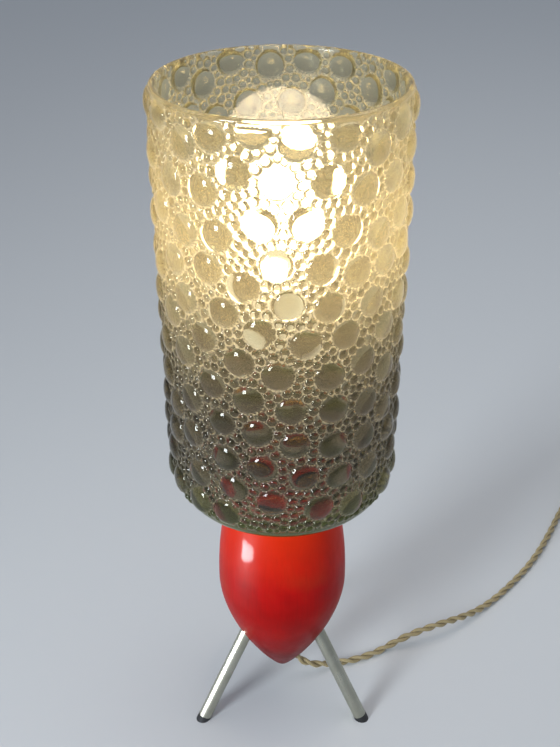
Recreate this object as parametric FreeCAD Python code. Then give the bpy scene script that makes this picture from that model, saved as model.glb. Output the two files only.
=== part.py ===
import FreeCAD, Part
import math
import os

# Table lamp: a lacquered wooden egg stands on three slanted metal legs and carries a
# cylindrical glass shade, open at the top, round an E27 bulb. A twisted two-core flex
# leaves the egg low at the back, passes an in-line rocker switch, and ends in a coil and
# a flat two-pin plug. The origin is on the lamp's axis at table height, +Z is up and the
# front looks along -Y. Millimetres and degrees. Each sub-part is one solid in its own file.

V = FreeCAD.Vector
UP = V(0, 0, 1)
ORIGIN = V(0, 0, 0)

# Fits, as gaps on the radius
SLIP = 0.05
RUNNING = 0.04
CLEAR = 0.35

# Flex: two twisted cores, taken together as one round cord
CORD_RADIUS = 3.0
CORD_BORE_CLEARANCE = 0.1
ARC_SHARE = 0.45
INNER_ARC_SHARE = 0.2

# Wooden egg: outline from the tip to the widest place, then an ellipse up to the flat top
EGG_TIP_Z = 23.2
EGG_TIP_FLAT_RADIUS = 1.5
EGG_TIP_HANDLE = 3.4
EGG_WIDEST_Z = 121.5
EGG_RADIUS = 47.1
EGG_WIDEST_HANDLE = 39.9
EGG_UPPER_SEMI_HEIGHT = 123.0
EGG_TOP_Z = 204.0
EGG_TOP_EDGE = 1.5
EGG_BORE_CLEARANCE = 1.6

# Legs: a tube leaning outwards, its plug and stud, the insert it screws into, its foot
LEG_NAMES = {"back": 90.0, "left": 210.0, "right": 330.0}
LEG_RADIUS = 5.0
LEG_WALL = 1.0
LEG_FOOT_SPREAD = 71.2
LEG_ENTRY_Z = 71.3
LEG_BURIED = 24.0
LEG_TUBE_END_Z = 2.9
FOOT_LIP = 0.1
FOOT_SPIGOT_LENGTH = 12.0
STUD_RADIUS = 3.0
STUD_LENGTH = 14.0
STUD_PLUG_LENGTH = 12.0
LEG_INSERT_WALL = 1.25
LEG_INSERT_HOLE_SPARE = 1.0

# Stem: a hollow M10 rod from the insert in the egg up to the lamp holder
STEM_RADIUS = 5.0
STEM_BORE_CLEARANCE = 0.5
STEM_INSERT_WALL = 3.0
STEM_INSERT_LENGTH = 22.0
STEM_IN_INSERT = 20.0
INSERT_GROOVES = 2
INSERT_GROOVE_DEPTH = 0.8
INSERT_GROOVE_WIDTH = 2.0
LOWER_GASKET_RADIUS = 25.0
UPPER_GASKET_RADIUS = 25.0
GASKET_THICKNESS = 1.5
WASHER_RADIUS = 23.0
WASHER_THICKNESS = 2.0
WASHER_EDGE = 0.6
NUT_WALL = 2.0
NUT_HEIGHT = 4.0
STEM_COVER_GAP = 1.0
STEM_COVER_WALL = 1.0

# Glass shade: the outer radius is the middle of the bubbles' relief
SHADE_TOP_Z = 491.0
SHADE_RADIUS = 76.5
SHADE_INNER_RADIUS = 71.0
SHADE_RIM_RADIUS = 75.0
SHADE_RIM_HEIGHT = 7.0
SHADE_CORNER_RADIUS = 20.0
SHADE_FLOOR_THICKNESS = 5.0
SHADE_STEM_HOLE_CLEARANCE = 0.4

# E27 bulb with a 60 mm globe, screwed home 0.1 mm above the holder's contact
BULB_CONTACT_GAP = 0.1
BULB_CONTACT_RADIUS = 4.4
BULB_CONTACT_FLAT_RADIUS = 3.2
BULB_CONTACT_HEIGHT = 1.9
INSULATOR_BOTTOM_RADIUS = 6.0
INSULATOR_HEIGHT = 6.5
INSULATOR_RIM = 1.5
CAP_CREST_RADIUS = 13.1
CAP_THREAD_DEPTH = 0.5
CAP_WALL = 0.4
CAP_LIP = 0.4
CAP_THREAD_PITCH = 3.629
CAP_THREAD_TURNS = 4
CAP_HEIGHT = 20.0
NECK_IN_CAP = 5.0
GLOBE_RADIUS = 30.0
GLOBE_ABOVE_CONTACT = 76.0
GLOBE_SHOULDER_ANGLE = -40.0
GLOBE_SHOULDER_HANDLE = 10.0
GLOBE_WALL = 0.8
MOUNT_FLARE_THICKNESS = 1.0
MOUNT_STEM_RADIUS = 3.5
MOUNT_HEIGHT = 30.0
FILAMENT_WIRE_RADIUS = 0.5
FILAMENT_LEAD_SPREAD = 2.2
FILAMENT_LEAD_HEIGHT = 3.0
FILAMENT_HALF_WIDTH = 11.0
FILAMENT_RISE = 13.0
FILAMENT_ARCH = 5.0

# E27 lamp holder
HOLDER_BOTTOM_Z = 319.0
HOLDER_RADIUS = 20.0
HOLDER_WALL = 1.6
HOLDER_HUB_WALL = 3.0
HOLDER_HUB_HEIGHT = 3.0
HOLDER_DOME_HEIGHT = 12.0
HOLDER_CAP_WALL_HEIGHT = 6.0
HOLDER_SKIRT_HEIGHT = 35.0
HOLDER_MOUTH_CLEARANCE = 2.6
HOLDER_MOUTH_THICKNESS = 2.0
STEM_IN_HOLDER = 6.0
CERAMIC_BOSS_RADIUS = 14.0
CERAMIC_BOSS_HEIGHT = 4.0
CERAMIC_HEIGHT = 14.0
SHELL_CLEARANCE = 0.4
SHELL_WALL = 0.4
SHELL_BELOW_MOUTH = 3.0
SHELL_FLANGE_WIDTH = 3.0
CERAMIC_RECESS_MARGIN = 1.0
CERAMIC_RECESS_DEPTH = 4.0
CONTACT_SHEET = 0.6
CONTACT_WIDTH = 5.0
CONTACT_HALF_LENGTH = 6.0
CONTACT_TONGUE_HALF = 3.0
TERMINAL_SCREW_SPREAD = 9.0
TERMINAL_SCREW_RADIUS = 1.75
TERMINAL_SCREW_LENGTH = 7.0
TERMINAL_HEAD_RADIUS = 3.2
TERMINAL_HEAD_HEIGHT = 2.4
TERMINAL_SLOT_HALF = 0.6

# The flex's way out of the egg: a slanted bore from the axis to the back on the right
EXIT_BEND_Z = 71.5
EXIT_TILT = 16.0
EXIT_AZIMUTH = 45.0
EXIT_LENGTH = 45.0
EXIT_STRAIGHT = 7.2
BUSHING_WALL = 1.1
BUSHING_TIP_WALL = 0.6
BUSHING_LENGTH = 15.0
BUSHING_TAPER = 2.5

# The flex on the table, from the bushing to the switch: points that its runs meet at
LAMP_ROUTE = [
    (14.6, 10.0, 15.6),
    (21.2, 8.8, 11.9),
    (30.0, 11.0, 8.3),
    (40.0, 15.2, 4.8),
    (51.6, 18.6, 3.0),
    (65.6, 22.8, 3.0),
    (79.3, 29.0, 3.2),
    (91.6, 35.6, 5.6),
    (105.4, 39.6, 11.4),
    (120.0, 43.8, 14.7),
    (137.4, 51.2, 14.5),
    (154.8, 62.0, 10.2),
    (171.9, 75.6, 5.2),
    (188.8, 91.4, 3.0),
    (206.0, 109.2, 3.0),
    (224.2, 130.0, 3.0),
    (241.2, 153.8, 3.0),
    (257.4, 181.2, 3.0),
    (269.6, 203.6, 3.0),
    (279.0, 219.6, 3.2),
]

# In-line switch, in its own frame: x along the flex, y across, z up from the table
SWITCH_HEADING = 36.0
SWITCH_PARTING = 7.0
SWITCH_INLET = V(300.0, 238.6, SWITCH_PARTING)
SWITCH_LEAD = 13.0
SWITCH_HALF_LENGTH = 33.0
SWITCH_END_HALF_WIDTH = 6.5
SWITCH_MIDDLE_HALF_LENGTH = 16.0
SWITCH_HALF_WIDTH = 13.0
SWITCH_CORNER = 3.0
SWITCH_WALL = 1.8
SWITCH_HEIGHT = 18.0
SWITCH_TOP_WALL = 2.0
SWITCH_EDGE = 1.6
SWITCH_POST_RADIUS = 2.9
SWITCH_POST_X = 19.0
SWITCH_POST_Y = 7.0
SWITCH_SCREW_RADIUS = 1.5
SWITCH_SCREW_LENGTH = 12.0
SWITCH_HEAD_RADIUS = 2.4
SWITCH_HEAD_HEIGHT = 1.2
SWITCH_HEAD_SUNK = 0.4
SWITCH_TAIL_LENGTH = 9.0
GRIP_WIDTH = 4.0
GRIP_HALF_SPAN = 5.0
GRIP_THICKNESS = 2.0

# Rocker and the contact blade that it tips over
BLADE_PIVOT_Z = 5.0
BLADE_THICKNESS = 0.8
ROCKER_PIVOT_DEPTH = 3.5
ROCKER_RADIUS = 10.9
ROCKER_HALF_WIDTH = 5.5
ROCKER_END_TOP = 4.7
ROCKER_VALLEY = 3.1
ROCKER_UNDERSIDE = 3.0
ROCKER_TILT = 9.0
ROCKER_FOOT_HALF_WIDTH = 1.6
ROCKER_FOOT_TO_BLADE = 0.4
PIN_RADIUS = 1.2
PIN_HALF_LENGTH = 8.0
LUG_HALF_LENGTH = 3.0
LUG_THICKNESS = 2.1
LUG_DEPTH = 4.2
BLADE_HALF_LENGTH = 9.0
BLADE_HALF_WIDTH = 2.5
BLADE_TILT = 8.0
BLADE_GAP = 0.05
CONTACT_POST_X = 8.0
CONTACT_POST_WIDTH = 1.0
TERMINAL_SHEET = 1.0
TERMINAL_BLOCK_X = 15.0
TERMINAL_BLOCK_HALF = 2.5
TERMINAL_BLOCK_TOP = 6.5
TERMINAL_HALF_WIDTH = 2.5
FULCRUM_HALF_BASE = 1.0

# The flex from the switch round to the coil
SWITCH_ROUTE = [
    (378.4, 288.2, 4.4),
    (391.0, 281.0, 3.0),
    (399.2, 267.0, 3.0),
    (401.2, 247.2, 3.0),
    (396.5, 227.6, 3.0),
]

# Coil: turns spiral in on the table, climb a layer in the innermost half turn, and spiral
# out again on top. Its two ends leave at the same side, along -Y.
COIL_MIDDLE = V(356.0, 203.0, 0)
COIL_OUTER_RADIUS = 40.5
COIL_GAP = 0.5
COIL_LOWER_HALF_TURNS = 6
COIL_END_STRAIGHT = 6.0
COIL_SAMPLE_STEP = 2.0

# The flex from the coil to the plug
PLUG_ROUTE = [
    (396.5, 186.0, 9.5),
    (394.6, 172.6, 8.2),
]

# Flat two-pin plug, in its own frame: x from the flex towards the pins, z up
PLUG_HEADING = 222.0
PLUG_THICKNESS = 13.7
PLUG_INLET = V(378.3, 151.3, PLUG_THICKNESS / 2)
PLUG_LEAD = 13.0
PLUG_LENGTH = 35.0
PLUG_REAR_HALF_WIDTH = 6.0
PLUG_FRONT_HALF_WIDTH = 17.6
PLUG_SHOULDER_X = 22.0
PLUG_WAIST_X = 8.0
PLUG_WAIST_HALF_WIDTH = 8.5
PLUG_EDGE = 1.5
RELIEF_LENGTH = 20.0
RELIEF_RADIUS = 5.0
RELIEF_TIP_WALL = 0.7
RELIEF_GROOVES = 4
RELIEF_GROOVE_DEPTH = 0.8
PLUG_PIN_RADIUS = 2.0
PLUG_PIN_BARE_LENGTH = 10.0
PLUG_PIN_SLEEVE_RADIUS = 1.8
PLUG_PIN_LENGTH = 19.0
PLUG_PIN_BURIED = 10.0
PLUG_PIN_TIP = 1.0
PLUG_PIN_SPREAD = 18.6
PLUG_PIN_TIP_SPREAD = 17.5

# Heights and radii that follow from the sizes above
SHADE_BOTTOM_Z = EGG_TOP_Z + GASKET_THICKNESS
SHADE_FLOOR_Z = SHADE_BOTTOM_Z + SHADE_FLOOR_THICKNESS
WASHER_Z = SHADE_FLOOR_Z + GASKET_THICKNESS
NUT_Z = WASHER_Z + WASHER_THICKNESS
STEM_COVER_Z = NUT_Z + NUT_HEIGHT
HOLDER_DOME_TOP_Z = HOLDER_BOTTOM_Z + HOLDER_HUB_HEIGHT + HOLDER_DOME_HEIGHT
HOLDER_CAP_TOP_Z = HOLDER_DOME_TOP_Z + HOLDER_CAP_WALL_HEIGHT
HOLDER_TOP_Z = HOLDER_CAP_TOP_Z + HOLDER_SKIRT_HEIGHT
CERAMIC_Z = HOLDER_DOME_TOP_Z - CERAMIC_BOSS_HEIGHT
CERAMIC_TOP_Z = CERAMIC_Z + CERAMIC_HEIGHT
BULB_Z = CERAMIC_TOP_Z + BULB_CONTACT_GAP
INSULATOR_Z = BULB_Z + BULB_CONTACT_HEIGHT
CAP_Z = INSULATOR_Z + INSULATOR_HEIGHT - INSULATOR_RIM
CAP_TOP_Z = CAP_Z + CAP_HEIGHT
GLOBE_Z = BULB_Z + GLOBE_ABOVE_CONTACT
NECK_Z = CAP_TOP_Z - NECK_IN_CAP
ROCKER_PIVOT_Z = SWITCH_HEIGHT - ROCKER_PIVOT_DEPTH
ROCKER_FOOT_DEPTH = ROCKER_PIVOT_Z - BLADE_PIVOT_Z - BLADE_THICKNESS - ROCKER_FOOT_TO_BLADE
EGG_BORE_RADIUS = CORD_RADIUS + EGG_BORE_CLEARANCE
BUSHING_BORE_RADIUS = CORD_RADIUS + CORD_BORE_CLEARANCE
BUSHING_RADIUS = BUSHING_BORE_RADIUS + BUSHING_WALL
BUSHING_TIP_RADIUS = BUSHING_BORE_RADIUS + BUSHING_TIP_WALL
FOOT_RADIUS = LEG_RADIUS + FOOT_LIP
LEG_INSERT_BORE_RADIUS = STUD_RADIUS + SLIP
LEG_INSERT_RADIUS = LEG_INSERT_BORE_RADIUS + LEG_INSERT_WALL
STEM_BORE_RADIUS = CORD_RADIUS + STEM_BORE_CLEARANCE
STEM_INSERT_RADIUS = STEM_RADIUS + STEM_INSERT_WALL
NUT_ACROSS_FLATS = 2 * (STEM_RADIUS + NUT_WALL)
SHADE_STEM_HOLE_RADIUS = STEM_RADIUS + SHADE_STEM_HOLE_CLEARANCE
CAP_ROOT_RADIUS = CAP_CREST_RADIUS - CAP_THREAD_DEPTH
CAP_INNER_RADIUS = CAP_ROOT_RADIUS - CAP_WALL
INSULATOR_TOP_RADIUS = CAP_INNER_RADIUS - CAP_LIP
HOLDER_HUB_RADIUS = STEM_RADIUS + HOLDER_HUB_WALL
SHELL_INNER_RADIUS = CAP_CREST_RADIUS + SHELL_CLEARANCE
SHELL_FLANGE_INNER_RADIUS = SHELL_INNER_RADIUS - SHELL_FLANGE_WIDTH
CERAMIC_RECESS_RADIUS = SHELL_FLANGE_INNER_RADIUS - CERAMIC_RECESS_MARGIN
COIL_PITCH = 2 * CORD_RADIUS + COIL_GAP
RELIEF_TIP_RADIUS = CORD_RADIUS + RELIEF_TIP_WALL


# Small helpers

def at(radius, z):
    return V(radius, 0, z)


def line(start, end):
    return Part.LineSegment(start, end).toShape()


def arc(start, middle, end):
    return Part.Arc(start, middle, end).toShape()


def bezier(*poles):
    curve = Part.BezierCurve()
    curve.setPoles(list(poles))
    return curve.toShape()


def path(points):
    """Straight edges from each point to the next."""
    return [line(start, end) for start, end in zip(points, points[1:])]


def lathe(edges):
    """The solid that a closed outline in the XZ plane turns into round the Z axis."""
    outline = Part.Wire(Part.__sortEdges__(edges))
    return Part.Face(outline).revolve(ORIGIN, UP, 360)


def turned(points):
    """A lathe solid from the corners of its outline, given as (radius, z)."""
    corners = [at(*point) for point in points]
    return lathe(path(corners + corners[:1]))


def cylinder(radius, low, high):
    return Part.makeCylinder(radius, high - low, V(0, 0, low))


def ring(outer, inner, low, high):
    return cylinder(outer, low, high).cut(cylinder(inner, low, high))


def rod(start, end, radius):
    return Part.makeCylinder(radius, (end - start).Length, start, end - start)


def sleeve(start, end, outer, inner):
    return rod(start, end, outer).cut(rod(start, end, inner))


def block(x_range, y_range, z_range):
    low = V(x_range[0], y_range[0], z_range[0])
    return Part.makeBox(x_range[1] - low.x, y_range[1] - low.y, z_range[1] - low.z, low)


def prism(points, low, high):
    """An upright prism on the outline given as (x, y) corners."""
    corners = [V(x, y, low) for x, y in points]
    return Part.Face(Part.Wire(path(corners + corners[:1]))).extrude(V(0, 0, high - low))


def side_profile(edges, half_width):
    """A closed outline in the XZ plane, made as thick as twice half_width across Y."""
    face = Part.Face(Part.Wire(Part.__sortEdges__(edges)))
    face.translate(V(0, -half_width, 0))
    return face.extrude(V(0, 2 * half_width, 0))


def moved(shape, place):
    copy = shape.copy()
    copy.Placement = place.multiply(copy.Placement)
    return copy


def turned_about(shape, centre, axis, angle):
    copy = shape.copy()
    copy.rotate(centre, axis, angle)
    return copy


def direction(azimuth, tilt=90.0):
    """A unit vector at an azimuth from +X, tilted from straight down."""
    flat = math.sin(math.radians(tilt))
    down = math.cos(math.radians(tilt))
    angle = math.radians(azimuth)
    return V(flat * math.cos(angle), flat * math.sin(angle), -down)


# Flex: straight runs joined by tangent arcs

def rounded(points, share):
    """The edges of a route, and the radius of each of its arcs."""
    edges = []
    radii = []
    start = points[0]
    for before, corner, after in zip(points, points[1:], points[2:]):
        into = (corner - before).normalize()
        out = (after - corner).normalize()
        half_angle = into.getAngle(out) / 2
        reach = share * min((corner - before).Length, (after - corner).Length)
        radius = reach / math.tan(half_angle)
        first = corner - into * reach
        last = corner + out * reach
        inward = (out - into).normalize()
        middle = corner + inward * (radius / math.cos(half_angle) - radius)
        edges.append(line(start, first))
        edges.append(arc(first, middle, last))
        radii.append(radius)
        start = last
    edges.append(line(start, points[-1]))
    return edges, radii


def swept(edges, start, heading, radius, name):
    """A round tube along the edges, with its volume set against section times length."""
    spine = Part.Wire(edges)
    section = Part.Wire([Part.Circle(start, heading, radius).toShape()])
    tube = spine.makePipeShell([section], True)
    share = tube.Volume / (math.pi * radius ** 2 * spine.Length)
    print(f"{name}: length {spine.Length:.1f}, volume {share:.4f} of section x length")
    return tube


def flex(points, name, radius=CORD_RADIUS, share=ARC_SHARE):
    edges, radii = rounded(points, share)
    print(f"{name}: radii " + ", ".join(f"{r:.0f}" for r in radii))
    return swept(edges, points[0], points[1] - points[0], radius, name)


def exit_point(distance):
    """A place on the slanted bore, at a distance from where it meets the egg's axis."""
    return V(0, 0, EXIT_BEND_Z) + direction(EXIT_AZIMUTH, EXIT_TILT) * distance


# Egg and what is set into it

def egg_lower_outline():
    """The poles of the egg's outline from the edge of its tip to its widest place."""
    tip = at(EGG_TIP_FLAT_RADIUS, EGG_TIP_Z)
    widest = at(EGG_RADIUS, EGG_WIDEST_Z)
    return [tip, tip + at(EGG_TIP_HANDLE, 0), widest - at(0, EGG_WIDEST_HANDLE), widest]


def egg_radius_at(z):
    """The egg's radius at a height under its widest place."""
    level = Part.makePlane(2 * EGG_RADIUS, 2 * EGG_RADIUS, V(0, -EGG_RADIUS, z))
    distance, pairs, _ = bezier(*egg_lower_outline()).distToShape(level)
    return pairs[0][0].x


def leg_line():
    """Tube end, tube top and direction of a leg that stands along +X."""
    foot = at(LEG_FOOT_SPREAD, 0)
    entry = at(egg_radius_at(LEG_ENTRY_Z), LEG_ENTRY_Z)
    upwards = (entry - foot).normalize()
    end = foot + upwards * (LEG_TUBE_END_Z / upwards.z)
    return end, entry + upwards * LEG_BURIED, upwards


def round_the_legs(shape):
    """Copies of a shape made for a leg along +X, at the three legs' places, by name."""
    return {name: turned_about(shape, ORIGIN, UP, angle) for name, angle in LEG_NAMES.items()}


def wooden_egg():
    poles = egg_lower_outline()
    tip = poles[0]
    widest = poles[-1]
    lower = bezier(*poles)
    upper_angle = math.acos((EGG_TOP_Z - EGG_WIDEST_Z) / EGG_UPPER_SEMI_HEIGHT)
    middle = at(0, EGG_WIDEST_Z)
    ellipse = Part.Ellipse(middle + at(0, EGG_UPPER_SEMI_HEIGHT), widest, middle)
    upper = Part.ArcOfEllipse(ellipse, upper_angle, math.pi / 2).toShape()
    shoulder = ellipse.value(upper_angle)
    ends = path([shoulder, at(0, EGG_TOP_Z), at(0, EGG_TIP_Z), tip])
    egg = lathe([lower, upper] + ends)
    top_edges = [
        edge for edge in egg.Edges
        if abs(edge.CenterOfMass.z - EGG_TOP_Z) < SLIP and edge.Length > EGG_RADIUS
    ]
    egg = egg.makeFillet(EGG_TOP_EDGE, top_edges)

    end, top, upwards = leg_line()
    leg_hole = rod(end, top, LEG_RADIUS + SLIP)
    insert_hole = rod(top, top + upwards * (STUD_LENGTH + LEG_INSERT_HOLE_SPARE), LEG_INSERT_RADIUS)
    holes = list(round_the_legs(leg_hole.fuse(insert_hole)).values())
    holes.append(cylinder(EGG_BORE_RADIUS, EXIT_BEND_Z, EGG_TOP_Z))
    holes.append(Part.makeSphere(EGG_BORE_RADIUS, exit_point(0)))
    holes.append(cylinder(STEM_INSERT_RADIUS, EGG_TOP_Z - STEM_INSERT_LENGTH, EGG_TOP_Z))
    holes.append(rod(exit_point(0), exit_point(EXIT_LENGTH + EGG_TIP_Z), BUSHING_RADIUS + SLIP))
    return egg.cut(holes)


def exit_bushing():
    """A sleeve round the flex where it leaves the wood, tapered outside the egg."""
    bore = BUSHING_BORE_RADIUS
    outline = [
        (bore, 0),
        (BUSHING_RADIUS, 0),
        (BUSHING_RADIUS, BUSHING_LENGTH - BUSHING_TAPER),
        (BUSHING_TIP_RADIUS, BUSHING_LENGTH),
        (bore, BUSHING_LENGTH),
    ]
    turn = FreeCAD.Rotation(UP, direction(EXIT_AZIMUTH, EXIT_TILT))
    return moved(turned(outline), FreeCAD.Placement(exit_point(EXIT_LENGTH - BUSHING_LENGTH), turn))


def stem_insert():
    """A brass insert with grooves round it that keep it in the wood."""
    low = EGG_TOP_Z - STEM_INSERT_LENGTH
    groove_radius = STEM_INSERT_RADIUS - INSERT_GROOVE_DEPTH
    insert = ring(STEM_INSERT_RADIUS, STEM_RADIUS + SLIP, low, EGG_TOP_Z)
    for k in range(INSERT_GROOVES):
        z = low + (k + 1) * STEM_INSERT_LENGTH / (INSERT_GROOVES + 1)
        insert = insert.cut(ring(STEM_INSERT_RADIUS, groove_radius, z, z + INSERT_GROOVE_WIDTH))
    return insert


def leg_parts():
    end, top, upwards = leg_line()
    inner = LEG_RADIUS - LEG_WALL
    plug_radius = inner - SLIP
    tube = sleeve(end, top, LEG_RADIUS, inner)
    stud = rod(top - upwards * STUD_PLUG_LENGTH, top, plug_radius)
    stud = stud.fuse(rod(top, top + upwards * STUD_LENGTH, STUD_RADIUS))
    insert = sleeve(top, top + upwards * STUD_LENGTH, LEG_INSERT_RADIUS, LEG_INSERT_BORE_RADIUS)
    sole = rod(end - upwards * ((LEG_TUBE_END_Z + FOOT_RADIUS) / upwards.z), end, FOOT_RADIUS)
    reach = 2 * LEG_FOOT_SPREAD
    sole = sole.cut(block((0, reach), (-reach, reach), (-reach, 0)))
    foot = sole.fuse(rod(end, end + upwards * FOOT_SPIGOT_LENGTH, plug_radius))
    parts = {}
    for kind, shape in (("tube", tube), ("stud", stud), ("insert", insert), ("foot", foot)):
        for name, copy in round_the_legs(shape).items():
            parts[f"leg_{kind}_{name}"] = copy
    return parts


# Shade and the stack that clamps it

def glass_shade():
    """A deep glass cup with a plain band at its rim and a rounded lower corner."""
    corner = SHADE_CORNER_RADIUS
    wall = SHADE_RADIUS - SHADE_INNER_RADIUS
    inner_corner = corner - wall
    diagonal = at(math.sqrt(0.5), -math.sqrt(0.5))
    band_z = SHADE_TOP_Z - SHADE_RIM_HEIGHT
    lip = (SHADE_RIM_RADIUS - SHADE_INNER_RADIUS) / 2
    outer_centre = at(SHADE_RADIUS - corner, SHADE_BOTTOM_Z + corner)
    inner_centre = at(SHADE_INNER_RADIUS - inner_corner, SHADE_FLOOR_Z + inner_corner)
    hole_low = at(SHADE_STEM_HOLE_RADIUS, SHADE_BOTTOM_Z)
    hole_high = at(SHADE_STEM_HOLE_RADIUS, SHADE_FLOOR_Z)
    foot = outer_centre - at(0, corner)
    side = outer_centre + at(corner, 0)
    floor_end = inner_centre - at(0, inner_corner)
    inside = inner_centre + at(inner_corner, 0)
    lip_outside = at(SHADE_RIM_RADIUS, SHADE_TOP_Z - lip)
    lip_inside = at(SHADE_INNER_RADIUS, SHADE_TOP_Z - lip)
    edges = path([hole_high, hole_low, foot])
    edges.append(arc(foot, outer_centre + diagonal * corner, side))
    edges += path([side, at(SHADE_RADIUS, band_z - wall / 2), at(SHADE_RIM_RADIUS, band_z)])
    edges += path([at(SHADE_RIM_RADIUS, band_z), lip_outside])
    edges.append(arc(lip_outside, at(SHADE_RIM_RADIUS - lip, SHADE_TOP_Z), lip_inside))
    edges += path([lip_inside, inside])
    edges.append(arc(inside, inner_centre + diagonal * inner_corner, floor_end))
    edges += path([floor_end, hole_high])
    return lathe(edges)


def clamp_washer():
    hole = STEM_RADIUS + SLIP
    top = WASHER_Z + WASHER_THICKNESS
    return turned([
        (hole, WASHER_Z),
        (WASHER_RADIUS, WASHER_Z),
        (WASHER_RADIUS, top - WASHER_EDGE),
        (WASHER_RADIUS - WASHER_EDGE, top),
        (hole, top),
    ])


def clamp_nut():
    corner = NUT_ACROSS_FLATS / math.sqrt(3)
    hexagon = [
        (corner * math.cos(math.radians(60 * k)), corner * math.sin(math.radians(60 * k)))
        for k in range(6)
    ]
    hole = cylinder(STEM_RADIUS + SLIP, NUT_Z, STEM_COVER_Z)
    return prism(hexagon, NUT_Z, STEM_COVER_Z).cut(hole)


def stem_parts():
    hole = STEM_RADIUS + SLIP
    stem_top = HOLDER_BOTTOM_Z + STEM_IN_HOLDER
    cover_inner = STEM_RADIUS + STEM_COVER_GAP
    cover_outer = cover_inner + STEM_COVER_WALL
    return {
        "stem_insert": stem_insert(),
        "stem_tube": ring(STEM_RADIUS, STEM_BORE_RADIUS, EGG_TOP_Z - STEM_IN_INSERT, stem_top),
        "lower_gasket": ring(LOWER_GASKET_RADIUS, hole, EGG_TOP_Z, SHADE_BOTTOM_Z),
        "upper_gasket": ring(UPPER_GASKET_RADIUS, hole, SHADE_FLOOR_Z, WASHER_Z),
        "clamp_washer": clamp_washer(),
        "clamp_nut": clamp_nut(),
        "stem_cover": ring(cover_outer, cover_inner, STEM_COVER_Z, HOLDER_BOTTOM_Z),
    }


# Lamp holder

def holder_cap():
    """The holder's lower half: a hub on the stem that flares into a dome and a wall."""
    low = HOLDER_BOTTOM_Z
    hub_top = low + HOLDER_HUB_HEIGHT
    dome_top = HOLDER_DOME_TOP_Z
    top = HOLDER_CAP_TOP_Z
    hole = STEM_RADIUS + SLIP
    inner = HOLDER_RADIUS - HOLDER_WALL
    hub = HOLDER_HUB_RADIUS
    floor_z = hub_top + HOLDER_WALL
    diagonal = math.sqrt(0.5)
    outside = at(hub + (HOLDER_RADIUS - hub) * diagonal, dome_top - (dome_top - hub_top) * diagonal)
    inside = at(hub + (inner - hub) * diagonal, dome_top - (dome_top - floor_z) * diagonal)
    edges = path([at(hole, low), at(hub, low), at(hub, hub_top)])
    edges.append(arc(at(hub, hub_top), outside, at(HOLDER_RADIUS, dome_top)))
    edges += path([at(HOLDER_RADIUS, dome_top), at(HOLDER_RADIUS, top), at(inner, top)])
    edges += path([at(inner, top), at(inner, dome_top)])
    edges.append(arc(at(inner, dome_top), inside, at(hub, floor_z)))
    edges += path([at(hub, floor_z), at(hole, floor_z), at(hole, low)])
    return lathe(edges)


def holder_skirt():
    """The holder's upper half: a wall that turns in at the mouth."""
    low = HOLDER_CAP_TOP_Z
    high = HOLDER_TOP_Z
    inner = HOLDER_RADIUS - HOLDER_WALL
    mouth = SHELL_INNER_RADIUS + SHELL_WALL + HOLDER_MOUTH_CLEARANCE
    return turned([
        (inner, low),
        (HOLDER_RADIUS, low),
        (HOLDER_RADIUS, high - HOLDER_MOUTH_THICKNESS),
        (HOLDER_RADIUS - HOLDER_MOUTH_THICKNESS, high),
        (mouth, high),
        (mouth, high - HOLDER_MOUTH_THICKNESS),
        (inner, high - HOLDER_MOUTH_THICKNESS),
    ])


def holder_ceramic():
    """The insulating core, with a recess for the contact and holes for the screws."""
    outer = HOLDER_RADIUS - HOLDER_WALL - 2 * SLIP
    boss_top = CERAMIC_Z + CERAMIC_BOSS_HEIGHT
    recess_z = CERAMIC_TOP_Z - CERAMIC_RECESS_DEPTH
    boss = cylinder(CERAMIC_BOSS_RADIUS, CERAMIC_Z, boss_top)
    core = boss.fuse(cylinder(outer, boss_top, CERAMIC_TOP_Z))
    core = core.cut(cylinder(CERAMIC_RECESS_RADIUS, recess_z, CERAMIC_TOP_Z))
    for side in (-1, 1):
        foot = V(side * TERMINAL_SCREW_SPREAD, 0, CERAMIC_Z)
        core = core.cut(rod(foot, foot + UP * TERMINAL_SCREW_LENGTH, TERMINAL_SCREW_RADIUS + SLIP))
    return core.removeSplitter()


def terminal_screw(side):
    foot = V(side * TERMINAL_SCREW_SPREAD, 0, CERAMIC_Z)
    head = rod(foot - UP * TERMINAL_HEAD_HEIGHT, foot, TERMINAL_HEAD_RADIUS)
    half = TERMINAL_SLOT_HALF
    low = CERAMIC_Z - TERMINAL_HEAD_HEIGHT
    across = (foot.x - TERMINAL_HEAD_RADIUS, foot.x + TERMINAL_HEAD_RADIUS)
    slot = block(across, (-half, half), (low, low + half))
    return head.cut(slot).fuse(rod(foot, foot + UP * TERMINAL_SCREW_LENGTH, TERMINAL_SCREW_RADIUS))


def holder_shell():
    """The socket's metal shell, with a flange that lies on the ceramic."""
    low = CERAMIC_TOP_Z
    high = HOLDER_TOP_Z - HOLDER_MOUTH_THICKNESS - SHELL_BELOW_MOUTH
    outer = SHELL_INNER_RADIUS + SHELL_WALL
    return turned([
        (SHELL_FLANGE_INNER_RADIUS, low),
        (outer, low),
        (outer, high),
        (SHELL_INNER_RADIUS, high),
        (SHELL_INNER_RADIUS, low + SHELL_WALL),
        (SHELL_FLANGE_INNER_RADIUS, low + SHELL_WALL),
    ])


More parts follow.
